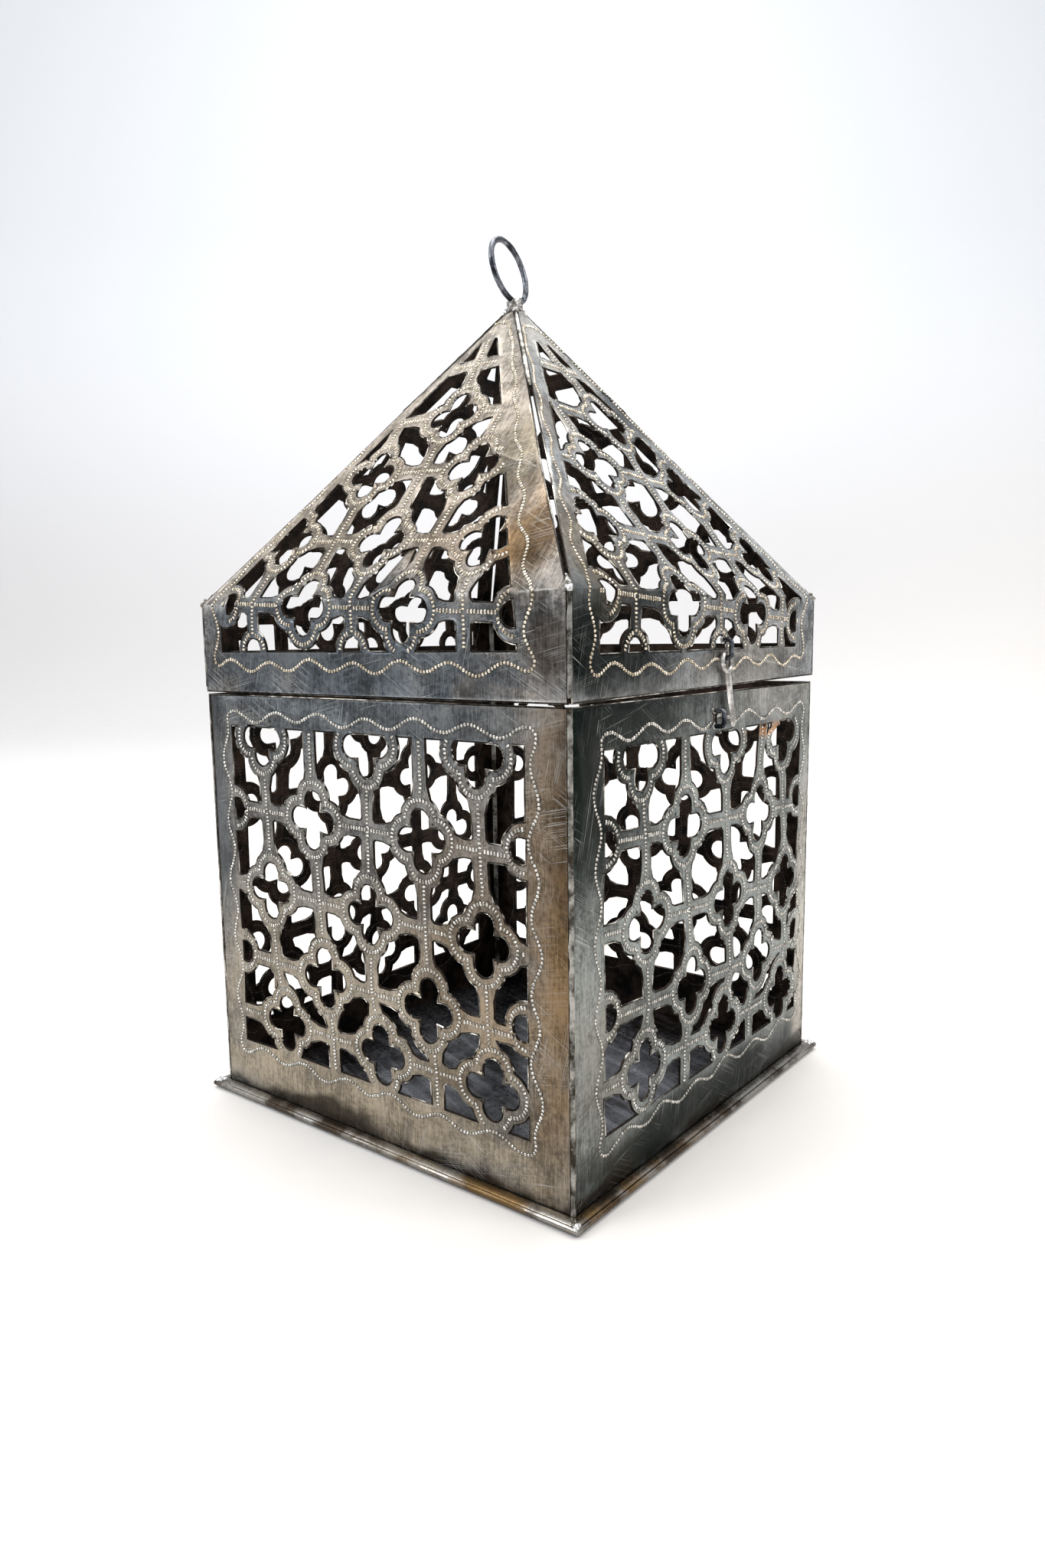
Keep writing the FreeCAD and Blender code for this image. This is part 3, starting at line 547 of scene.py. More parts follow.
# ---- pierced sheets
def build_panel(kind, side, materials, body):
    """One sheet: its cut edges are pushed in, it waves a little, and its punched beads stand proud."""
    node = ("wall_" if kind == "wall" else "lid_panel_") + side
    bm = node_mesh(node)
    flat = bm.verts.layers.float_vector.new("flat")
    cad_tree = BVHTree.FromBMesh(bm)
    front = []
    for face in bm.faces:
        x, y, h = to_flat(kind, side, face.calc_center_median())
        faces_out = abs(h) < 0.02 and face.normal.dot(outward(kind, side, y)) > 0.9
        face.material_index = SHEET_SLOT if faces_out else INSIDE_SLOT
        if faces_out:
            front.append(face)
    drops = []
    for material, inset, drop in EDGE_BANDS:
        kept = set(front)
        rim = {v for f in front for v in f.verts if any(other not in kept for other in v.link_faces)}
        drops.append((rim, drop))
        band = bmesh.ops.inset_region(bm, faces=front, thickness=inset * MM, use_boundary=True,
                                      use_even_offset=True)["faces"]
        for face in band:
            face.material_index = material
    for vert in {vert for face in front for vert in face.verts}:
        metal, _, _, away = cad_tree.find_nearest(vert.co)
        if away > 0.01 * MM:
            vert.co = metal
    for rim, drop in drops:
        for vert in rim:
            y = to_flat(kind, side, vert.co)[1]
            vert.co -= outward(kind, side, y) * drop * MM
    for axis, low, high in ((0, 0, 2 * BODY_HALF), (1, -WALL_TOP, ROOF_SLOPE)):
        for step in range(int(low // GRID), int(high // GRID) + 1):
            cut_at(bm, kind, side, axis, step * GRID)
    bmesh.ops.remove_doubles(bm, verts=bm.verts, dist=4e-6)
    for vert in bm.verts:
        x, y, h = to_flat(kind, side, vert.co)
        vert[flat] = Vector((x, y, h)) * MM
        vert.co += outward(kind, side, y) * wave(kind, side, x, y) * MM
    add_beads(bm, kind, side, cad_tree)
    add_piece(f"{kind}_{side}_sheet", bm, materials, body, [node], 48.0, False)


def cut_at(bm, kind, side, axis, place):
    """Cuts the sheet along a line of its flat pattern, so that it can bend there."""
    if kind == "wall" and axis == 1 and place > 0:
        return
    y = place if axis == 1 else -1.0
    point = to_world(kind, side, place if axis == 0 else 10.0, y)
    across = to_world(kind, side, place if axis == 0 else 30.0, y) - point
    if axis == 0:
        normal = to_world(kind, side, place + 10.0, -1.0) - to_world(kind, side, place, -1.0)
    else:
        normal = across.cross(outward(kind, side, y))
    geometry = bm.verts[:] + bm.edges[:] + bm.faces[:]
    bmesh.ops.bisect_plane(bm, geom=geometry, dist=1e-7, plane_co=point, plane_no=normal.normalized())


def punch_rings(bm, centre, up, across, steps, sides, long=1.0):
    """Rings of points round a punch mark, one for each (reach, lift).

    across is square to the line of marks, and long is how much longer the mark is that way.
    """
    across = (across - up * across.dot(up)).normalized()
    along = up.cross(across)
    rings = []
    for reach, lift in steps:
        ring = []
        for turn in round_turns(sides):
            spread = across * (math.cos(turn) * reach * long) + along * (math.sin(turn) * reach / long)
            ring.append(bm.verts.new(centre + (spread + up * lift) * MM))
        rings.append(ring)
    return rings


def ring_band(bm, low, high, material):
    for k in range(len(low)):
        n = (k + 1) % len(low)
        bm.faces.new((low[k], high[k], high[n], low[n])).material_index = material


def add_bead(bm, centre, up, across, size, long):
    """A small dome that the punch raised, with a dark ring round it: dirt and painted shade in its
    groove.
    """
    reach = BEAD_R * size
    steps = ((reach + 0.28, -0.03), (reach, 0.06), (reach * 0.74, 0.68 * BEAD_HEIGHT))
    rings = punch_rings(bm, centre, up, across, steps, 8, long)
    # The dark ring is painted shade of the groove round the bead, over dirt.
    ring_band(bm, rings[0], rings[1], SHADE_AND_GRIME_SLOT)
    ring_band(bm, rings[1], rings[2], BEAD_SLOT)
    top = bm.verts.new(centre + up * BEAD_HEIGHT * size * MM)
    for k in range(8):
        bm.faces.new((rings[2][k], top, rings[2][(k + 1) % 8])).material_index = BEAD_SLOT


def add_dimple(bm, centre, up, across):
    """The ring-shaped dent that the punch left on the sheet's inner face."""
    steps = ((0.66, -0.03), (0.46, 0.14), (0.12, 0.02))
    rings = punch_rings(bm, centre, up, across, steps, 6)
    ring_band(bm, rings[0], rings[1], DENT_SLOT)
    ring_band(bm, rings[1], rings[2], INSIDE_SLOT)
    bm.faces.new(rings[2]).material_index = INSIDE_SLOT


def add_beads(bm, kind, side, cad_tree):
    """Beads along the borders, the bars and the quatrefoils, wherever there is metal for them."""
    draw = random.Random(f"{kind} {side}")
    sheet_tree = BVHTree.FromBMesh(bm)
    lines, border, window = (wall_lines if kind == "wall" else lid_lines)(side)
    taken = {}
    runs = [(border, None, BORDER_LONG)] + [(line, window, LATTICE_LONG) for line in lines]
    for line, edge, long in runs:
        for x, y, run_x, run_y in walk(line, BEAD_PITCH):
            x += draw.uniform(-0.08, 0.08)
            y += draw.uniform(-0.08, 0.08)
            size = draw.uniform(0.88, 1.10)
            if edge and not inside(edge, x, y):
                continue
            cell = (int(x // BEAD_APART), int(y // BEAD_APART))
            near = (taken.get((cell[0] + i, cell[1] + j)) for i in (-1, 0, 1) for j in (-1, 0, 1))
            if any(spot and math.dist(spot, (x, y)) < BEAD_APART for spot in near):
                continue
            if not on_metal(cad_tree, kind, side, x, y, BEAD_R * size + 0.4):
                continue
            up = outward(kind, side, y)
            seat, normal, _, _ = sheet_tree.ray_cast(to_world(kind, side, x, y, 3.0), -up, 5 * MM)
            if seat is None:
                continue
            taken[cell] = (x, y)
            across = to_world(kind, side, x - run_y, y + run_x) - to_world(kind, side, x, y)
            add_bead(bm, seat, normal, across, size, long)
            back, normal, _, _ = sheet_tree.ray_cast(to_world(kind, side, x, y, -3.0), up, 5 * MM)
            if back is not None:
                add_dimple(bm, back, normal, across)


def on_metal(tree, kind, side, x, y, reach):
    """Whether there is sheet under all four sides of a mark at (x, y)."""
    for dx, dy in ((reach, 0), (-reach, 0), (0, reach), (0, -reach)):
        start = to_world(kind, side, x + dx, y + dy, 1.0)
        hit = tree.ray_cast(start, -outward(kind, side, y + dy), 1.4 * MM)
        if hit[0] is None:
            return False
    return True


# ---- tray
def build_tray(materials):
    """The tray: a flat floor whose edge folds up into a rolled rim, mitred at its corners."""
    out = TRAY_HALF - BODY_HALF
    top = RIM_HEIGHT
    profile = [(-89.9, 0.8), (-60, 0.8), (-30, 0.8), (-8, 0.8), (0.1, 0.8), (0.16, top - 0.45),
               (0.4, top - 0.1), (1.1, top - 0.14), (2.3, top - 0.32), (3.0, top - 0.62),
               (3.3, top - 0.95), (3.6, top - 0.72), (4.2, top - 0.75), (out - 0.28, 2.2),
               (out - 0.12, 1.5), (out - 0.3, 0.75), (4.2, 0.22), (3.5, 0.0), (0.0, 0.0),
               (-40, 0.0), (-89.9, 0.0)]
    steps = 60
    bm = bmesh.new()
    rows = []
    for number, (reach, height) in enumerate(profile):
        row = []
        for turn in range(4):
            for k in range(steps):
                spread = BODY_HALF + reach
                place = (2 * k / steps - 1) * spread
                seed = Vector((place / 17, turn * 9.1, number * 0.12))
                push, lift = 0.0, 0.0
                if 6 <= number <= 16:
                    push = 0.10 * noise.noise(seed) + 0.05 * noise.noise(seed * 4.1)
                    lift = 0.12 * noise.noise(seed + Vector((0, 4, 0))) if number < 14 else 0.0
                spot = Vector((place, -spread - push, min(top, height + lift)))
                row.append(Matrix.Rotation(turn * math.pi / 2, 3, "Z") @ spot * MM)
        rows.append(row)
    skin(bm, rows)
    add_piece("tray_floor_and_rim", bm, materials, "body", ["base_tray"], 35.0)


# ---- solder
def corner_rows(base, sheets, start, stop, seed, width, swell, tapered):
    """Rows of solder along a corner.

    sheets gives (away from the corner, inward) for its two sheets, and then the corner's own way.
    """
    along = sheets[2]
    steps = max(4, round((stop - start) / 0.9))
    rows = []
    for k in range(steps + 1):
        at = start + (stop - start) * k / steps
        spot = base + along * at
        end = min(1.0, 0.25 + k / 4, 0.25 + (steps - k) / 4) if tapered else 1.0
        row = []
        for number, (away, inward) in enumerate(sheets[:2]):
            wide = (width + 0.45 * ripple(at / 5.0, seed + number * 5, 0)) * end
            fat = (swell + 0.12 * ripple(at / 2.2, seed + number * 7, 3)) * end
            near = (swell * 0.7 + 0.14 * ripple(at / 1.7, seed + number * 3, 6)) * end
            outline = ((0.62, near), (wide * 0.6, fat), (wide, 0.02), (wide - 0.15, -0.3), (2.3, -0.64))
            row.append([spot + away * reach - inward * height for reach, height in outline])
        crest = spot + (sheets[0][0] + sheets[1][0]) * 0.13
        crest -= (sheets[0][1] + sheets[1][1]) * 0.05 * ripple(at / 2.0, seed, 9)
        rows.append([point * MM for point in [crest] + row[0] + row[1][::-1]])
    return rows


def wall_corner(half):
    return (Vector((-half, -half, 0)),
            ((Vector((1, 0, 0)), Vector((0, 1, 0))), (Vector((0, 1, 0)), Vector((1, 0, 0))),
             Vector((0, 0, 1))))


def hip_corner():
    """The hip over the front left corner, laid out as in the CAD source."""
    foot = Vector((-LID_HALF, -LID_HALF, EAVE))
    along = (Vector((0, 0, APEX)) - foot).normalized()
    sheets = []
    for inward in (Vector((0, math.sin(ROOF_TILT), -math.cos(ROOF_TILT))),
                   Vector((math.sin(ROOF_TILT), 0, -math.cos(ROOF_TILT)))):
        away = along.cross(inward).normalized()
        if away.x + away.y < 0:
            away = -away
        sheets.append((away, inward))
    return foot, (sheets[0], sheets[1], along)


def add_run(bm, side, corner, start, stop, seed, width, swell, tapered):
    """Skins one run of solder along a corner of the side."""
    rows = corner_rows(*corner, start, stop, seed, width, swell, tapered)
    skin(bm, [[side_turn(side) @ point for point in row] for row in rows])


def build_seams(corner_material, material):
    """Solder down every corner of the body and lid, over the tips of the hips and on the eave."""
    drops = (((0.5, 0.5, -0.2), 1.05), ((1.4, 0.6, 0.5), 0.7), ((0.6, 1.5, 0.3), 0.75),
             ((1.3, 1.3, 1.6), 0.8))
    eave = Vector((-LID_HALF, -LID_HALF, EAVE))
    start, length = HIP_SOLDER
    for number, (corner, side) in enumerate(CORNERS.items()):
        bm = bmesh.new()
        add_run(bm, side, wall_corner(BODY_HALF), WALL_FOOT, WALL_TOP, 3.0 * number, 1.15, 0.09, False)
        add_solder("solder_wall_corner_" + corner, bm, [corner_material], "body", "wall_seam_" + corner)
        bm = bmesh.new()
        add_run(bm, side, wall_corner(LID_HALF), LID_BOTTOM + LIFTED_CORNER, EAVE - 0.2,
                40.0 + number, 1.1, 0.09, False)
        add_run(bm, side, hip_corner(), 0.0, EAVE_DROP, 50.0 + number, 1.5, 0.14, True)
        lumps(bm, eave, side_turn(side), drops, 60 + number * 4, material=1)
        add_solder("solder_lid_corner_" + corner, bm, [corner_material, material], "lid",
                   "lid_seam_" + corner)
        bm = bmesh.new()
        add_run(bm, side, hip_corner(), start, start + length, 70.0 + number, 0.95, 0.08, True)
        add_solder("solder_hip_" + corner, bm, [corner_material], "lid", "hip_solder_" + corner)


def build_rim_drops(material):
    """A lumpy drop of solder on each mitre of the rim."""
    bm = bmesh.new()
    inset = (BODY_HALF + TRAY_HALF) / 2
    mitre = Vector((-inset, -inset, RIM_HEIGHT))
    drops = (((0, 0, -0.9), 1.5), ((1.1, 1.0, -0.8), 1.1), ((-1.0, -0.9, -1.1), 1.0),
             ((0.9, -0.5, -0.7), 0.8))
    for number in range(4):
        turn = Matrix.Rotation(number * math.pi / 2, 3, "Z")
        lumps(bm, mitre, turn, drops, number * 5, rough=0.3, squash=(1, 1, 0.85))
    add_solder("solder_rim_corners", bm, [material], "body", "base_corner_solder")


# ---- ring and tip
def ring_lean():
    turn = Matrix.Rotation(math.radians(RING_TURN), 3, "Z")
    return turn @ Matrix.Rotation(math.radians(-RING_LEAN), 3, "X")


def ring_spot(turn, radius):
    """A point of the hanging ring in mm, turn radians round from its foot."""
    spot = Vector((radius * math.sin(turn), 0, RING_R - radius * math.cos(turn)))
    return ring_lean() @ spot + Vector((0, 0, APEX + 0.2))


def butted(part):
    """How full the ring's wire is: it thins at its two ends, where they meet."""
    return min(1.0, 0.7 + 40 * min(part, 1 - part))


def build_ring(wire_material, solder_material):
    """A ring bent from thick wire, its two ends butted low on one side, and the solder that holds it."""
    bm = bmesh.new()
    first, last = 0.62, 0.62 + 2 * math.pi - 0.05
    path = []
    for k in range(121):
        turn = first + (last - first) * k / 120
        radius = RING_R * (1 + 0.018 * math.sin(2 * turn + 0.4) - 0.018)
        path.append(ring_spot(turn, radius))
    wire(bm, path, ring_lean() @ Vector((0, 1, 0)),
         round_section(RING_WIRE, 0.94, 0.07, 2.0, 18, butted))
    add_fitting("ring_of_bent_wire", bm, [wire_material], "lid", "hanging_ring")
    bm = bmesh.new()
    tip = Vector((0, 0, APEX - 1.0))
    round_lump = (1, 1, 1)
    drops = (((0, 0, 0.1), 2.9, (1, 1, 0.95)), ((-1.6, -0.9, 0.5), 1.7, (1, 1, 0.9)),
             ((1.9, 0.4, 0.8), 1.6, (1.1, 0.9, 0.8)), ((0.4, -1.8, -1.2), 1.7, round_lump),
             ((-0.6, 1.7, -1.0), 1.6, round_lump), ((-2.0, -2.0, -2.6), 1.3, round_lump),
             ((2.1, -2.1, -2.7), 1.2, round_lump), ((-2.2, 2.2, -2.8), 1.3, round_lump),
             ((2.2, 2.1, -2.7), 1.2, round_lump), ((2.9, 0.5, 2.0), 1.0, (1.2, 0.9, 0.8)))
    for number, (shift, size, squash) in enumerate(drops):
        lump(bm, tip + Vector(shift), size, 80 + number, 0.3, squash)
    add_solder("solder_round_ring_foot", bm, [solder_material], "lid", "apex_solder")


# ---- latch and hinges
def bend_points(corner, start_way, end_way, radius, count=6):
    """Points of a quarter bend round a corner, from the way in to the way out."""
    centre = corner - start_way * radius + end_way * radius
    return [centre - end_way * radius * math.cos(t) + start_way * radius * math.sin(t)
            for t in (math.pi / 2 * k / count for k in range(count + 1))]


def build_staple(name, x, z_low, z_high, wall_y, body, materials, seed):
    """A U of wire with a little solder where each leg meets the sheet."""
    out = -BODY_HALF - STAPLE_OUT
    ahead, up = Vector((0, -1, 0)), Vector((0, 0, 1))
    path = [Vector((x, wall_y + 0.3, z_low))]
    path += bend_points(Vector((x, out, z_low)), ahead, up, STAPLE_BEND)
    path += bend_points(Vector((x, out, z_high)), up, -ahead, STAPLE_BEND)
    path += [Vector((x, wall_y + 0.3, z_high))]
    bm = bmesh.new()
    wire(bm, path, Vector((1, 0, 0)), round_section(STAPLE_WIRE, 1.0, 0.09, seed))
    for number, z in enumerate((z_low, z_high)):
        lump(bm, Vector((x, wall_y + 0.1, z)), 1.5, seed + number, 0.28, (1, 0.42, 0.9), 1)
    add_fitting("wire_" + name, bm, materials, body, name)


def strip_fullness(part):
    """How wide the hook's strip is: all its width, but for its round end."""
    left = (1 - part) * STRIP_LENGTH / STRIP_HALF
    return math.sqrt(max(0.03, 1 - max(0.0, 1 - left) ** 2))


def finger_fullness(part):
    return min(1.0, 0.35 + 6 * (1 - part))


def build_hook(material):
    """The hook: a wire eye, a strip hammered flat with a round end, and a finger to the left."""
    pivot = Vector((HOOK_X, -BODY_HALF - HOOK_OUT, HOOK_Z))
    lean = Matrix.Rotation(-math.radians(HOOK_REST), 3, "Y")
    eye = pivot + lean @ Vector((0, 0, -EYE_DROP))
    ahead = Vector((0, 1, 0))
    bm = bmesh.new()
    circle = [eye + Vector((EYE_R * math.cos(t), 0, EYE_R * math.sin(t))) for t in round_turns(40)]
    wire(bm, circle, ahead, round_section(HOOK_WIRE, 1.0, 0.0, 5.0), True)
    strip = [pivot + lean @ Vector((0.12 * math.sin(k / 4), 0, -STRIP_TOP - STRIP_LENGTH * k / 40))
             for k in range(41)]
    flatness = STRIP_THICK / 2 / STRIP_HALF
    wire(bm, strip, ahead, round_section(STRIP_HALF, flatness, 0.05, 6.0, 20, strip_fullness))
    root = 0.5
    finger = [pivot + lean @ Vector((root - (HOOK_TIP + root) * k / 8, 0, 0.05 * k * k / 8 - HOOK_REACH))
              for k in range(9)]
    wire(bm, finger, ahead, round_section(HOOK_WIRE * 0.95, 1.0, 0.06, 7.0, 14, finger_fullness))
    add_fitting("hook_of_flat_strip", bm, [material], "hook", "latch_hook")


def build_leaf(node, body, materials, x_middle, z_middle, out):
    """A hinge leaf: the CAD leaf with its edges broken and two rivets through it."""
    bm = node_mesh(node)
    crisp = [edge for edge in bm.edges
             if len(edge.link_faces) == 2 and edge.calc_face_angle(0.0) > math.radians(40)]
    bmesh.ops.bevel(bm, geom=crisp, offset=0.1 * MM, segments=2, profile=0.5, affect="EDGES",
                    clamp_overlap=True)
    for number, shift in enumerate((-5.0, 5.0)):
        rivet = Vector((x_middle + shift, out, z_middle))
        lump(bm, rivet, 1.35, x_middle + number, 0.12, (1, 0.5, 1), 1)
    add_piece(node + "_riveted", bm, materials, body, [node], 40.0, False)


def build_pin(node, material):
    """A hinge pin with a rounded head and a rounded end."""
    low, high = (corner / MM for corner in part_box(node))
    y, z = (low.y + high.y) / 2, (low.z + high.z) / 2
    head = (high.z - low.z) / 2
    length = high.x - low.x
    profile = ((0.0, 0.12), (0.05, head * 0.6), (0.25, head * 0.95), (0.5, head), (0.62, head * 0.9),
               (0.75, PIN_R), (length - 0.3, PIN_R), (length - 0.1, PIN_R * 0.75), (length, 0.1))
    rows = []
    for along, radius in profile:
        rows.append([Vector((low.x + along, y + radius * math.cos(t), z + radius * math.sin(t))) * MM
                     for t in round_turns(20)])
    bm = bmesh.new()
    skin(bm, rows)
    add_piece(node + "_rounded", bm, [material], "body", [node], 50.0)


# ---- materials
class Shader:
    """A small helper that builds one material's node tree.

    A pierced sheet reads its own flat pattern, in metres, and every other piece its own space.
    """

    def __init__(self, name, flat=False):
        self.material = bpy.data.materials.new(name)
        self.material.use_nodes = True
        self.tree = self.material.node_tree
        self.tree.nodes.clear()
        output = self.tree.nodes.new("ShaderNodeOutputMaterial")
        self.surface = self.tree.nodes.new("ShaderNodeBsdfPrincipled")
        self.tree.links.new(self.surface.outputs[0], output.inputs[0])
        if flat:
            pattern = self.tree.nodes.new("ShaderNodeAttribute")
            pattern.attribute_name = "flat"
            self.place = pattern.outputs["Vector"]
        else:
            self.place = self.tree.nodes.new("ShaderNodeTexCoord").outputs["Object"]

    def link(self, source, target):
        self.tree.links.new(source, target)

    def add(self, kind, source, settings=()):
        """A new node, with source linked into its first socket and other sockets set by name."""
        node = self.tree.nodes.new("ShaderNode" + kind)
        for name, value in settings:
            node.inputs[name].default_value = value
        self.link(source, node.inputs[0])
        return node

    def mapped(self, source, location=(0, 0, 0), turn=(0, 0, 0), scale=(1, 1, 1)):
        settings = (("Location", location), ("Rotation", turn), ("Scale", scale))
        return self.add("Mapping", source, settings).outputs[0]

    def noise(self, scale, detail=4.0, rough=0.55, seed=0.0, stretch=(1, 1, 1), turn=0.0):
        """Cloudy noise. A stretch under 1 draws it out that way, after a turn in the sheet's plane."""
        source = self.mapped(self.place, turn=(0, 0, turn)) if turn else self.place
        source = self.mapped(source, (seed, seed * 0.7, -seed), (0, 0, 0), stretch)
        settings = (("Scale", scale), ("Detail", detail), ("Roughness", rough))
        return self.add("TexNoise", source, settings).outputs["Fac"]

    def ramp(self, source, low, high, start=0.0, end=1.0):
        settings = (("From Min", low), ("From Max", high), ("To Min", start), ("To Max", end))
        node = self.add("MapRange", source, settings)
        node.interpolation_type = "SMOOTHSTEP"
        return node.outputs["Result"]

    def axis(self, name):
        return self.add("SeparateXYZ", self.place).outputs[name]

    def math(self, kind, a, b):
        node = self.tree.nodes.new("ShaderNodeMath")
        node.operation = kind
        for socket, value in zip(node.inputs, (a, b)):
            if isinstance(value, (int, float)):
                socket.default_value = value
            else:
                self.link(value, socket)
        return node.outputs[0]

    def times(self, a, b):
        return self.math("MULTIPLY", a, b)

    def total(self, *parts):
        """The sum of (output, weight) pairs."""
        whole = None
        for source, weight in parts:
            part = self.times(source, weight)
            whole = self.math("ADD", whole, part) if whole else part
        return whole

    def spot(self, x, y, reach_x, reach_y, ragged):
        """1 in the middle of a ragged patch of the sheet, at (x, y) mm, and 0 outside it."""
        scale = (1 / (reach_x * MM), 1 / (reach_y * MM), 0)
        centred = self.mapped(self.place, (-x / reach_x, -y / reach_y, 0), (0, 0, 0), scale)
        node = self.add("VectorMath", centred)
        node.operation = "LENGTH"
        return self.ramp(self.total((node.outputs["Value"], 1.0), (ragged, 1.3)), 1.85, 0.9)

    def mix(self, part, a, b):
        """Colour a where part is 0 and b where it is 1. Each is a colour or an output."""
        node = self.tree.nodes.new("ShaderNodeMix")
        node.data_type = "RGBA"
        self.link(part, node.inputs["Factor"])
        for name, value in (("A", a), ("B", b)):
            socket = next(s for s in node.inputs if s.name == name and s.type == "RGBA")
            if isinstance(value, tuple):
                socket.default_value = (*value, 1.0)
            else:
                self.link(value, socket)
        return next(s for s in node.outputs if s.type == "RGBA")

    def bump(self, height, distance, strength, before=None):
        node = self.tree.nodes.new("ShaderNodeBump")
        node.inputs["Distance"].default_value = distance * MM
        node.inputs["Strength"].default_value = strength
        self.link(height, node.inputs["Height"])
        if before:
            self.link(before, node.inputs["Normal"])
        return node.outputs["Normal"]

    def finish(self, colour, roughness, normal=None, metallic=1.0):
        self.link(colour, self.surface.inputs["Base Color"])
        self.link(roughness, self.surface.inputs["Roughness"])
        if normal:
            self.link(normal, self.surface.inputs["Normal"])
        self.surface.inputs["Metallic"].default_value = metallic
        return self.material


def tint(colour, strength):
    return tuple(min(1.0, part * strength) for part in colour)


def scratches(shader, seed):
    """Thin straight scratches in a few directions, in patches, from 0 to 1."""
    found = None
    for number, turn in enumerate((0.25, 1.35, -1.05)):
        line = shader.noise(4600, 0.0, 0.5, seed + number, (1.0, 0.006, 1.0), turn)
        where = shader.ramp(shader.noise(40, 2.0, 0.5, seed + 5 + number), 0.47, 0.60)
        line = shader.times(shader.ramp(line, 0.70, 0.77), where)
        found = shader.math("MAXIMUM", found, line) if found else line
    return found


def sheet_metal(name, seed, dark, light, spots, foot=None):
    """Aged tinned sheet: cloudy patina, stains, brushing, scratches and gentle hammer marks.

    spots are patches of another tone, each (x, y, half width, half height, colour, strength) in mm;
    some of them are painted reflections and highlights.
    foot is the height under which the sheet is painted dark, a painted dark reflection along the wall's
    foot, with a wavy edge.
    """
    shader = Shader(name, True)
    cloud = shader.noise(26, 5.0, 0.62, seed)
    blotch = shader.noise(110, 4.0, 0.6, seed + 1)
    speck = shader.noise(620, 4.0, 0.7, seed + 2)
    fine = shader.noise(2400, 2.0, 0.6, seed + 3, (1.0, 0.05, 1.0))
    tone = shader.total((cloud, 0.30), (blotch, 0.22), (speck, 0.26), (fine, 0.22))
    tone = shader.ramp(tone, 0.41, 0.59)
    colour = shader.mix(tone, dark, light)
    ragged = shader.noise(45, 5.0, 0.65, seed + 4)
    for x, y, reach_x, reach_y, hue, strength in spots:
        patch = shader.mix(tone, tint(hue, 0.5), tint(hue, 1.45))
        part = shader.times(shader.spot(x, y, reach_x, reach_y, ragged), strength)
        colour = shader.mix(part, colour, patch)
    # Painted dark reflection: the sheet turns near black towards the foot of each wall, with a wavy
    # edge.
    if foot:
        height = shader.total((shader.axis("Y"), 1.0), (shader.noise(20, 3.0, 0.5, seed + 6), 0.036))
        low = shader.ramp(height, (foot + 27.5) * MM, (foot + 23.5) * MM)
        colour = shader.mix(shader.times(low, 0.85), colour, (0.02, 0.015, 0.010))
    lines = scratches(shader, seed + 7)
    colour = shader.mix(shader.times(lines, 0.5), colour, (0.58, 0.58, 0.56))
    roughness = shader.ramp(shader.total((speck, 0.5), (blotch, 0.5)), 0.35, 0.65, 0.33, 0.52)
    normal = shader.bump(shader.noise(75, 3.0, 0.5, seed + 8), 0.9, 0.42)
    normal = shader.bump(blotch, 0.30, 0.45, normal)
    normal = shader.bump(speck, 0.06, 0.5, normal)
    normal = shader.bump(fine, 0.03, 0.35, normal)
    normal = shader.bump(lines, 0.04, 0.5, normal)
    return shader.finish(colour, roughness, normal)


def pitted_metal(name, seed, low, high, scale, rough, relief, metallic=1.0):
    """Metal in two mixed tones with pits and grain. Small parts, beads and edges are made of it."""
    shader = Shader(name)
    part = shader.ramp(shader.noise(scale, 5.0, 0.68, seed), 0.40, 0.62)
    colour = shader.mix(part, low, high)
    pits = shader.ramp(shader.noise(scale * 4.5, 4.0, 0.7, seed + 1), 0.58, 0.72)
    colour = shader.mix(shader.times(pits, 0.4), colour, tint(low, 0.5))
    grain = shader.noise(scale * 2.2, 4.0, 0.65, seed + 2)
    roughness = shader.ramp(grain, 0.3, 0.7, *rough)
    normal = shader.bump(grain, relief, 0.6)
    return shader.finish(colour, roughness, normal, metallic)


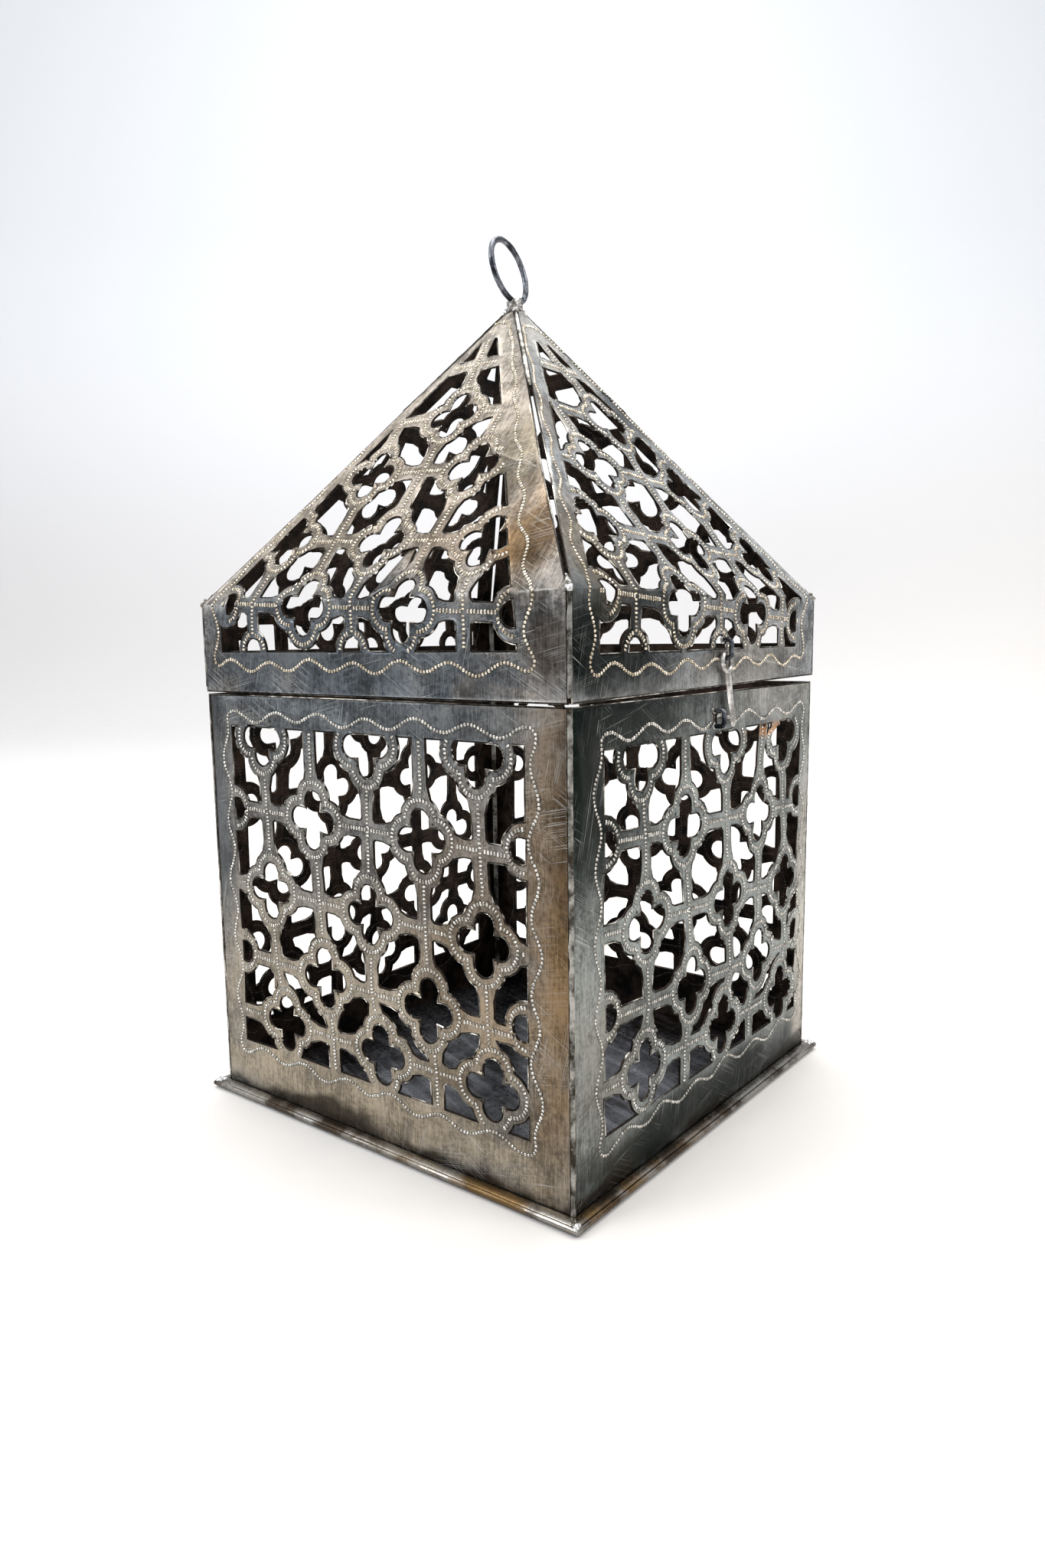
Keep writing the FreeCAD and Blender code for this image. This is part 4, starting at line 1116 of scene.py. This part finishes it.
def tray_metal(name, seed):
    """The tray: scratched bluish floor, and a grey rim with brown patches and, near the front left
    corner, copper tarnish under a painted copper highlight.
    """
    shader = Shader(name)
    cloud = shader.ramp(shader.noise(30, 6.0, 0.65, seed), 0.38, 0.62)
    streak = shader.ramp(shader.noise(260, 4.0, 0.6, seed + 1, (1.0, 0.08, 1.0), 0.35), 0.45, 0.66)
    speck = shader.noise(700, 4.0, 0.7, seed + 5)
    spread = shader.math("MAXIMUM", shader.math("ABSOLUTE", shader.axis("X"), 0.0),
                         shader.math("ABSOLUTE", shader.axis("Y"), 0.0))
    on_rim = shader.ramp(spread, (BODY_HALF - 0.6) * MM, (BODY_HALF + 0.2) * MM)
    floor = shader.mix(cloud, (0.018, 0.017, 0.019), (0.145, 0.150, 0.165))
    floor = shader.mix(shader.times(streak, 0.45), floor, (0.42, 0.43, 0.47))
    patches = shader.ramp(shader.noise(48, 5.0, 0.62, seed + 7), 0.41, 0.58)
    rim = shader.mix(patches, (0.058, 0.044, 0.032), (0.29, 0.275, 0.25))
    # Painted copper highlight over tarnish, on the rim near the front left corner.
    tarnish_and_highlight = shader.ramp(shader.noise(34, 5.0, 0.6, seed + 2), 0.40, 0.58)
    near = shader.times(shader.ramp(shader.axis("X"), 0.03, -0.08),
                        shader.ramp(shader.axis("Y"), 0.03, -0.08))
    rim = shader.mix(shader.times(tarnish_and_highlight, near), rim, (0.17, 0.105, 0.045))
    lip = shader.ramp(shader.axis("Z"), 0.0016, 0.0005)
    rim = shader.mix(shader.times(lip, 0.8), rim, (0.045, 0.04, 0.035))
    colour = shader.mix(on_rim, floor, rim)
    roughness = shader.ramp(speck, 0.3, 0.7, 0.20, 0.42)
    normal = shader.bump(shader.noise(140, 3.0, 0.5, seed + 4), 0.5, 0.3)
    normal = shader.bump(speck, 0.05, 0.5, normal)
    return shader.finish(colour, roughness, normal)


BLUE_GREY = (0.088, 0.098, 0.108)
# Painted dark reflection: a green-black tone for sheet that mirrors a dark surround.
DARK_REFLECTION_GREEN = (0.007, 0.011, 0.009)
WARM_GREY = (0.20, 0.170, 0.125)
OCHRE_GREY = (0.32, 0.272, 0.205)
GOLDEN_BROWN = (0.16, 0.092, 0.032)
DEEP_BROWN = (0.050, 0.030, 0.014)
PALE = (0.50, 0.47, 0.42)
# Painted highlight: the orange light on the lip of the front window's bent-out flap.
LIP_HIGHLIGHT_ORANGE = (0.46, 0.215, 0.075)
# Patches of another tone on each sheet, as (x, y, half width, half height, colour, strength) in mm
# on the flat pattern. Walls run down from their top edge and lids go up from the eave.
# The blue-grey bands along the tops of the walls are painted reflection of the dim bluish horizon.
SHEET_LOOKS = {
    # On this wall the ochre patches over the lower half are painted reflection of the cream floor.
    ("wall", "left"): dict(
        seed=1.0, dark=(0.062, 0.061, 0.059), light=(0.265, 0.258, 0.242),
        spots=((70, -122, 130, 60, OCHRE_GREY, 0.75), (80, -4, 130, 26, BLUE_GREY, 0.8),
               (4, -60, 9, 60, BLUE_GREY, 0.8),
               (172, -80, 18, 120, GOLDEN_BROWN, 0.55), (179, -42, 9, 52, DEEP_BROWN, 0.75),
               (176, -88, 8, 40, GOLDEN_BROWN, 0.5),
               (138, -88, 34, 62, GOLDEN_BROWN, 0.40), (84, -153, 120, 12, OCHRE_GREY, 0.9))),
    # The green-black patches at the top left, near the front left corner, and along the foot are painted
    # dark reflection.
    ("wall", "front"): dict(
        seed=2.0, dark=(0.080, 0.087, 0.082), light=(0.332, 0.360, 0.348),
        spots=((4, -14, 58, 60, DARK_REFLECTION_GREEN, 1.0), (40, -4, 46, 18, DARK_REFLECTION_GREEN, 0.95),
               (10, -42, 22, 24, DARK_REFLECTION_GREEN, 0.75), (50, -155, 80, 13, DARK_REFLECTION_GREEN, 1.0),
               (112, -155, 84, 13, DARK_REFLECTION_GREEN, 1.0),
               (178, -100, 10, 90, PALE, 0.7), (20, -120, 30, 40, WARM_GREY, 0.4),
               (142, -4, 50, 13, PALE, 0.45), (178, -140, 12, 30, PALE, 0.6),
               # Painted orange highlight on the bent-out flap's lip.
               (138, -17.2, 24, 3.4, LIP_HIGHLIGHT_ORANGE, 0.85))),
    ("wall", "right"): dict(
        seed=3.0, dark=(0.065, 0.064, 0.060), light=(0.26, 0.25, 0.23),
        spots=((90, -4, 120, 24, BLUE_GREY, 0.8), (172, -110, 14, 60, GOLDEN_BROWN, 0.6),
               (20, -60, 30, 60, WARM_GREY, 0.5), (80, -158, 110, 12, WARM_GREY, 0.6))),
    ("wall", "back"): dict(
        seed=4.0, dark=(0.065, 0.064, 0.061), light=(0.25, 0.245, 0.23),
        spots=((60, -6, 110, 28, BLUE_GREY, 0.8), (8, -110, 14, 60, DEEP_BROWN, 0.7),
               (120, -120, 60, 40, WARM_GREY, 0.5), (100, -157, 90, 10, DEEP_BROWN, 0.7))),
    ("lid", "left"): dict(
        seed=5.0, dark=(0.15, 0.124, 0.095), light=(0.555, 0.49, 0.425),
        spots=((80, -18, 190, 40, BLUE_GREY, 1.0), (172, -18, 12, 16, DEEP_BROWN, 0.6),
               (156, 24, 15, 27, GOLDEN_BROWN, 0.85), (135, 62, 16, 28, WARM_GREY, 1.0),
               (161, 26, 8, 28, DEEP_BROWN, 0.7), (147, 50, 6, 18, DEEP_BROWN, 0.5),
               (60, 36, 40, 34, WARM_GREY, 0.6), (126, 26, 26, 24, GOLDEN_BROWN, 0.40),
               (92, 122, 24, 36, PALE, 0.5))),
    # The green-black patch over the skirt's left end is painted dark reflection.
    ("lid", "front"): dict(
        seed=6.0, dark=(0.13, 0.134, 0.134), light=(0.50, 0.515, 0.52),
        spots=((16, -16, 76, 36, DARK_REFLECTION_GREEN, 1.0), (124, -24, 50, 14, WARM_GREY, 0.5),
               (115, 96, 10, 14, BLUE_GREY, 0.9), (24, 20, 24, 30, WARM_GREY, 0.8),
               (55, 86, 14, 30, GOLDEN_BROWN, 0.4), (92, 122, 24, 34, PALE, 0.5))),
    ("lid", "right"): dict(
        seed=7.0, dark=(0.14, 0.125, 0.10), light=(0.50, 0.47, 0.41),
        spots=((90, -24, 150, 20, BLUE_GREY, 0.9), (24, 24, 20, 30, GOLDEN_BROWN, 0.6),
               (110, 70, 30, 30, WARM_GREY, 0.5))),
    ("lid", "back"): dict(
        seed=8.0, dark=(0.14, 0.125, 0.10), light=(0.50, 0.47, 0.41),
        spots=((90, -24, 150, 20, BLUE_GREY, 0.9), (150, 30, 20, 30, GOLDEN_BROWN, 0.6),
               (60, 60, 30, 40, WARM_GREY, 0.5))),
}

# Each plain metal's seed, two tones, scale, range of roughness, relief in mm and metallic value.
METALS = {
    "bead_silver": (11.0, (0.30, 0.285, 0.25), (0.80, 0.775, 0.72), 500, (0.28, 0.46), 0.05),
    "bead_cream": (12.0, (0.36, 0.30, 0.215), (0.88, 0.80, 0.67), 500, (0.28, 0.46), 0.05),
    # Dark rings round the beads and dark lines just inside the cut edges: painted shade with grime.
    "bead_grime_and_shade": (13.0, (0.012, 0.010, 0.008), (0.065, 0.052, 0.038), 400, (0.5, 0.7), 0.05, 0.7),
    # Inner faces, near black: painted shade of the lantern's inside over dark oxide.
    "sheet_inside": (14.0, (0.006, 0.0045, 0.0035), (0.055, 0.036, 0.026), 90, (0.34, 0.60), 0.12, 0.85),
    "sheet_inside_dents": (20.0, (0.05, 0.045, 0.04), (0.16, 0.14, 0.125), 300, (0.3, 0.5), 0.05, 0.9),
    # Cut edges: pale worn metal that is also a painted highlight along every edge.
    "worn_edge_and_highlight": (15.0, (0.06, 0.05, 0.04), (0.80, 0.76, 0.68), 110, (0.3, 0.5), 0.06),
    "tin_solder": (16.0, (0.16, 0.145, 0.12), (0.74, 0.74, 0.74), 210, (0.16, 0.42), 0.16),
    "old_corner_solder": (21.0, (0.035, 0.030, 0.022), (0.40, 0.39, 0.36), 110, (0.26, 0.50), 0.12),
    "dark_wire": (17.0, (0.028, 0.029, 0.036), (0.20, 0.21, 0.24), 170, (0.16, 0.40), 0.08),
    "hook_metal": (18.0, (0.30, 0.285, 0.27), (0.86, 0.84, 0.81), 160, (0.22, 0.42), 0.07),
}
metal = {name: pitted_metal(name, *values) for name, values in METALS.items()}
solder = metal["tin_solder"]
wire_and_solder = [metal["dark_wire"], solder]
wire_and_rivets = [metal["dark_wire"], metal["hook_metal"]]
edge_metals = [metal[name] for name in ("bead_grime_and_shade", "sheet_inside", "worn_edge_and_highlight", "sheet_inside_dents")]

for (kind, side), look in SHEET_LOOKS.items():
    is_wall = kind == "wall"
    sheet = sheet_metal(f"{kind}_sheet_{side}", foot=-WALL_TOP if is_wall else None, **look)
    beads = metal["bead_silver" if is_wall else "bead_cream"]
    build_panel(kind, side, [sheet, beads] + edge_metals, "body" if is_wall else "lid")
build_tray([tray_metal("tray_metal", 19.0)])
build_seams(metal["old_corner_solder"], solder)
build_rim_drops(solder)
build_ring(metal["dark_wire"], solder)
build_staple("latch_pivot_staple", HOOK_X, HOOK_Z, HOOK_Z + 6.6, -LID_HALF, "lid", wire_and_solder, 21.0)
build_staple("latch_catch_staple", CATCH_X, CATCH_Z - 2.9, CATCH_Z + 2.9, -BODY_HALF, "body",
             wire_and_solder, 25.0)
build_hook(metal["hook_metal"])
PIN_Z = (WALL_TOP + LID_BOTTOM) / 2
LEAF_MIDDLE = 7.0  # from the pin to the middle of a leaf
for hand_side, x in (("left", -HINGE_X), ("right", HINGE_X)):
    build_leaf("hinge_body_leaf_" + hand_side, "body", wire_and_rivets, x, PIN_Z - LEAF_MIDDLE,
               BODY_HALF + SHEET)
    build_leaf("hinge_lid_leaf_" + hand_side, "lid", wire_and_rivets, x, PIN_Z + LEAF_MIDDLE,
               LID_HALF + SHEET)
    build_pin("hinge_pin_" + hand_side, metal["hook_metal"])


# ---- stage, light and camera
def backdrop():
    """A pale floor that curves up into a pale wall behind."""
    bm = bmesh.new()
    near, foot, curve, top, half_width = -3.0, 1.6, 1.2, 5.0, 5.0
    profile = [(near, 0.0), (foot, 0.0)]
    profile += [(foot + curve * math.sin(t * math.pi / 24), curve - curve * math.cos(t * math.pi / 24))
                for t in range(1, 13)]
    profile.append((foot + curve, top))
    turn = Matrix.Rotation(-CAMERA_YAW, 3, "Z")
    rows = [[turn @ Vector((x, away, height - 0.0004)) for x in (-half_width, half_width)]
            for away, height in profile]
    skin(bm, rows, False)
    for face in bm.faces:
        face.smooth = True
    mesh = bpy.data.meshes.new("backdrop")
    bm.to_mesh(mesh)
    bm.free()
    shader = Shader("paper_backdrop")
    shader.surface.inputs["Specular IOR Level"].default_value = 0.2
    # Painted light: the backdrop's colour darkens farther back along Y and turns near white up the wall,
    # standing in for how the light falls on it.
    far = shader.ramp(shader.axis("Y"), 0.2, 1.2)
    colour = shader.mix(far, (0.76, 0.74, 0.72), (0.61, 0.60, 0.60))
    height = shader.ramp(shader.axis("Z"), 0.1, 1.3)
    colour = shader.mix(height, colour, (0.94, 0.96, 0.985))
    grain = shader.ramp(shader.noise(60, 3.0, 0.5, 21.0), 0.3, 0.7, 0.6, 0.8)
    shader.finish(colour, grain, None, 0.0)
    mesh.materials.append(shader.material)
    floor = new_object("backdrop", mesh)


def area_light(name, place, target, size, power, colour):
    light = bpy.data.lights.new(name, "AREA")
    light.shape = "DISK"
    light.size = size
    light.energy = power
    light.color = colour
    lamp = new_object(name, light)
    lamp.location = place
    lamp.rotation_euler = (Vector(target) - Vector(place)).to_track_quat("-Z", "Y").to_euler()


def studio_world():
    """Soft light from all round: bright overhead and dim near the horizon."""
    world = bpy.data.worlds.new("studio")
    world.use_nodes = True
    tree = world.node_tree
    parts = tree.nodes.new("ShaderNodeSeparateXYZ")
    tree.links.new(tree.nodes.new("ShaderNodeTexCoord").outputs["Generated"], parts.inputs[0])
    ramp = tree.nodes.new("ShaderNodeValToRGB")
    stops = ((0.0, (0.22, 0.23, 0.25)), (0.10, (0.26, 0.28, 0.31)), (0.34, (0.62, 0.65, 0.70)),
             (0.62, (1.15, 1.15, 1.16)), (1.0, (1.25, 1.24, 1.22)))
    while len(ramp.color_ramp.elements) < len(stops):
        ramp.color_ramp.elements.new(0.5)
    for element, (place, colour) in zip(ramp.color_ramp.elements, stops):
        element.position = place
        element.color = (*colour, 1.0)
    tree.links.new(parts.outputs["Z"], ramp.inputs[0])
    tree.links.new(ramp.outputs[0], tree.nodes["Background"].inputs["Color"])
    tree.nodes["Background"].inputs["Strength"].default_value = 1.0
    bpy.context.scene.world = world


CAMERA_PLACE = (-0.3421, -0.2697, 0.1890)
CAMERA_YAW = 0.9044
CAMERA_PITCH = 0.1433
CAMERA_ROLL = -0.0142
CAMERA_LENS = 23.76


def set_camera():
    """The camera in the frame, from its place and its yaw, pitch and roll in radians."""
    data = bpy.data.cameras.new("camera")
    data.sensor_width = 36.0
    data.lens = CAMERA_LENS
    data.clip_start = 0.01
    camera = new_object("camera", data)
    forward = Vector((math.sin(CAMERA_YAW) * math.cos(CAMERA_PITCH),
                      math.cos(CAMERA_YAW) * math.cos(CAMERA_PITCH), -math.sin(CAMERA_PITCH)))
    level = Vector((math.cos(CAMERA_YAW), -math.sin(CAMERA_YAW), 0))
    lift = level.cross(forward)
    across = level * math.cos(CAMERA_ROLL) + lift * math.sin(CAMERA_ROLL)
    up = lift * math.cos(CAMERA_ROLL) - level * math.sin(CAMERA_ROLL)
    axes = Matrix((across, up, -forward)).transposed().to_4x4()
    camera.matrix_world = Matrix.Translation(Vector(CAMERA_PLACE)) @ axes
    bpy.context.scene.camera = camera


backdrop()
studio_world()
area_light("window", (-1.4, 0.9, 1.1), (0, 0, 0.2), 0.9, 16, (0.93, 0.97, 1.0))
area_light("lamp", (0.5, -1.5, 1.2), (0, 0, 0.15), 0.8, 9, (1.0, 0.965, 0.915))
area_light("sky", (0.4, 0.3, 2.0), (0, 0, 0.15), 1.6, 30, (1.0, 0.98, 0.95))
area_light("backdrop_wash", (0.9, 0.7, 2.1), (2.2, 1.7, 0.9), 1.4, 12, (0.99, 0.99, 1.0))
set_camera()
bpy.context.scene.view_settings.view_transform = "Standard"
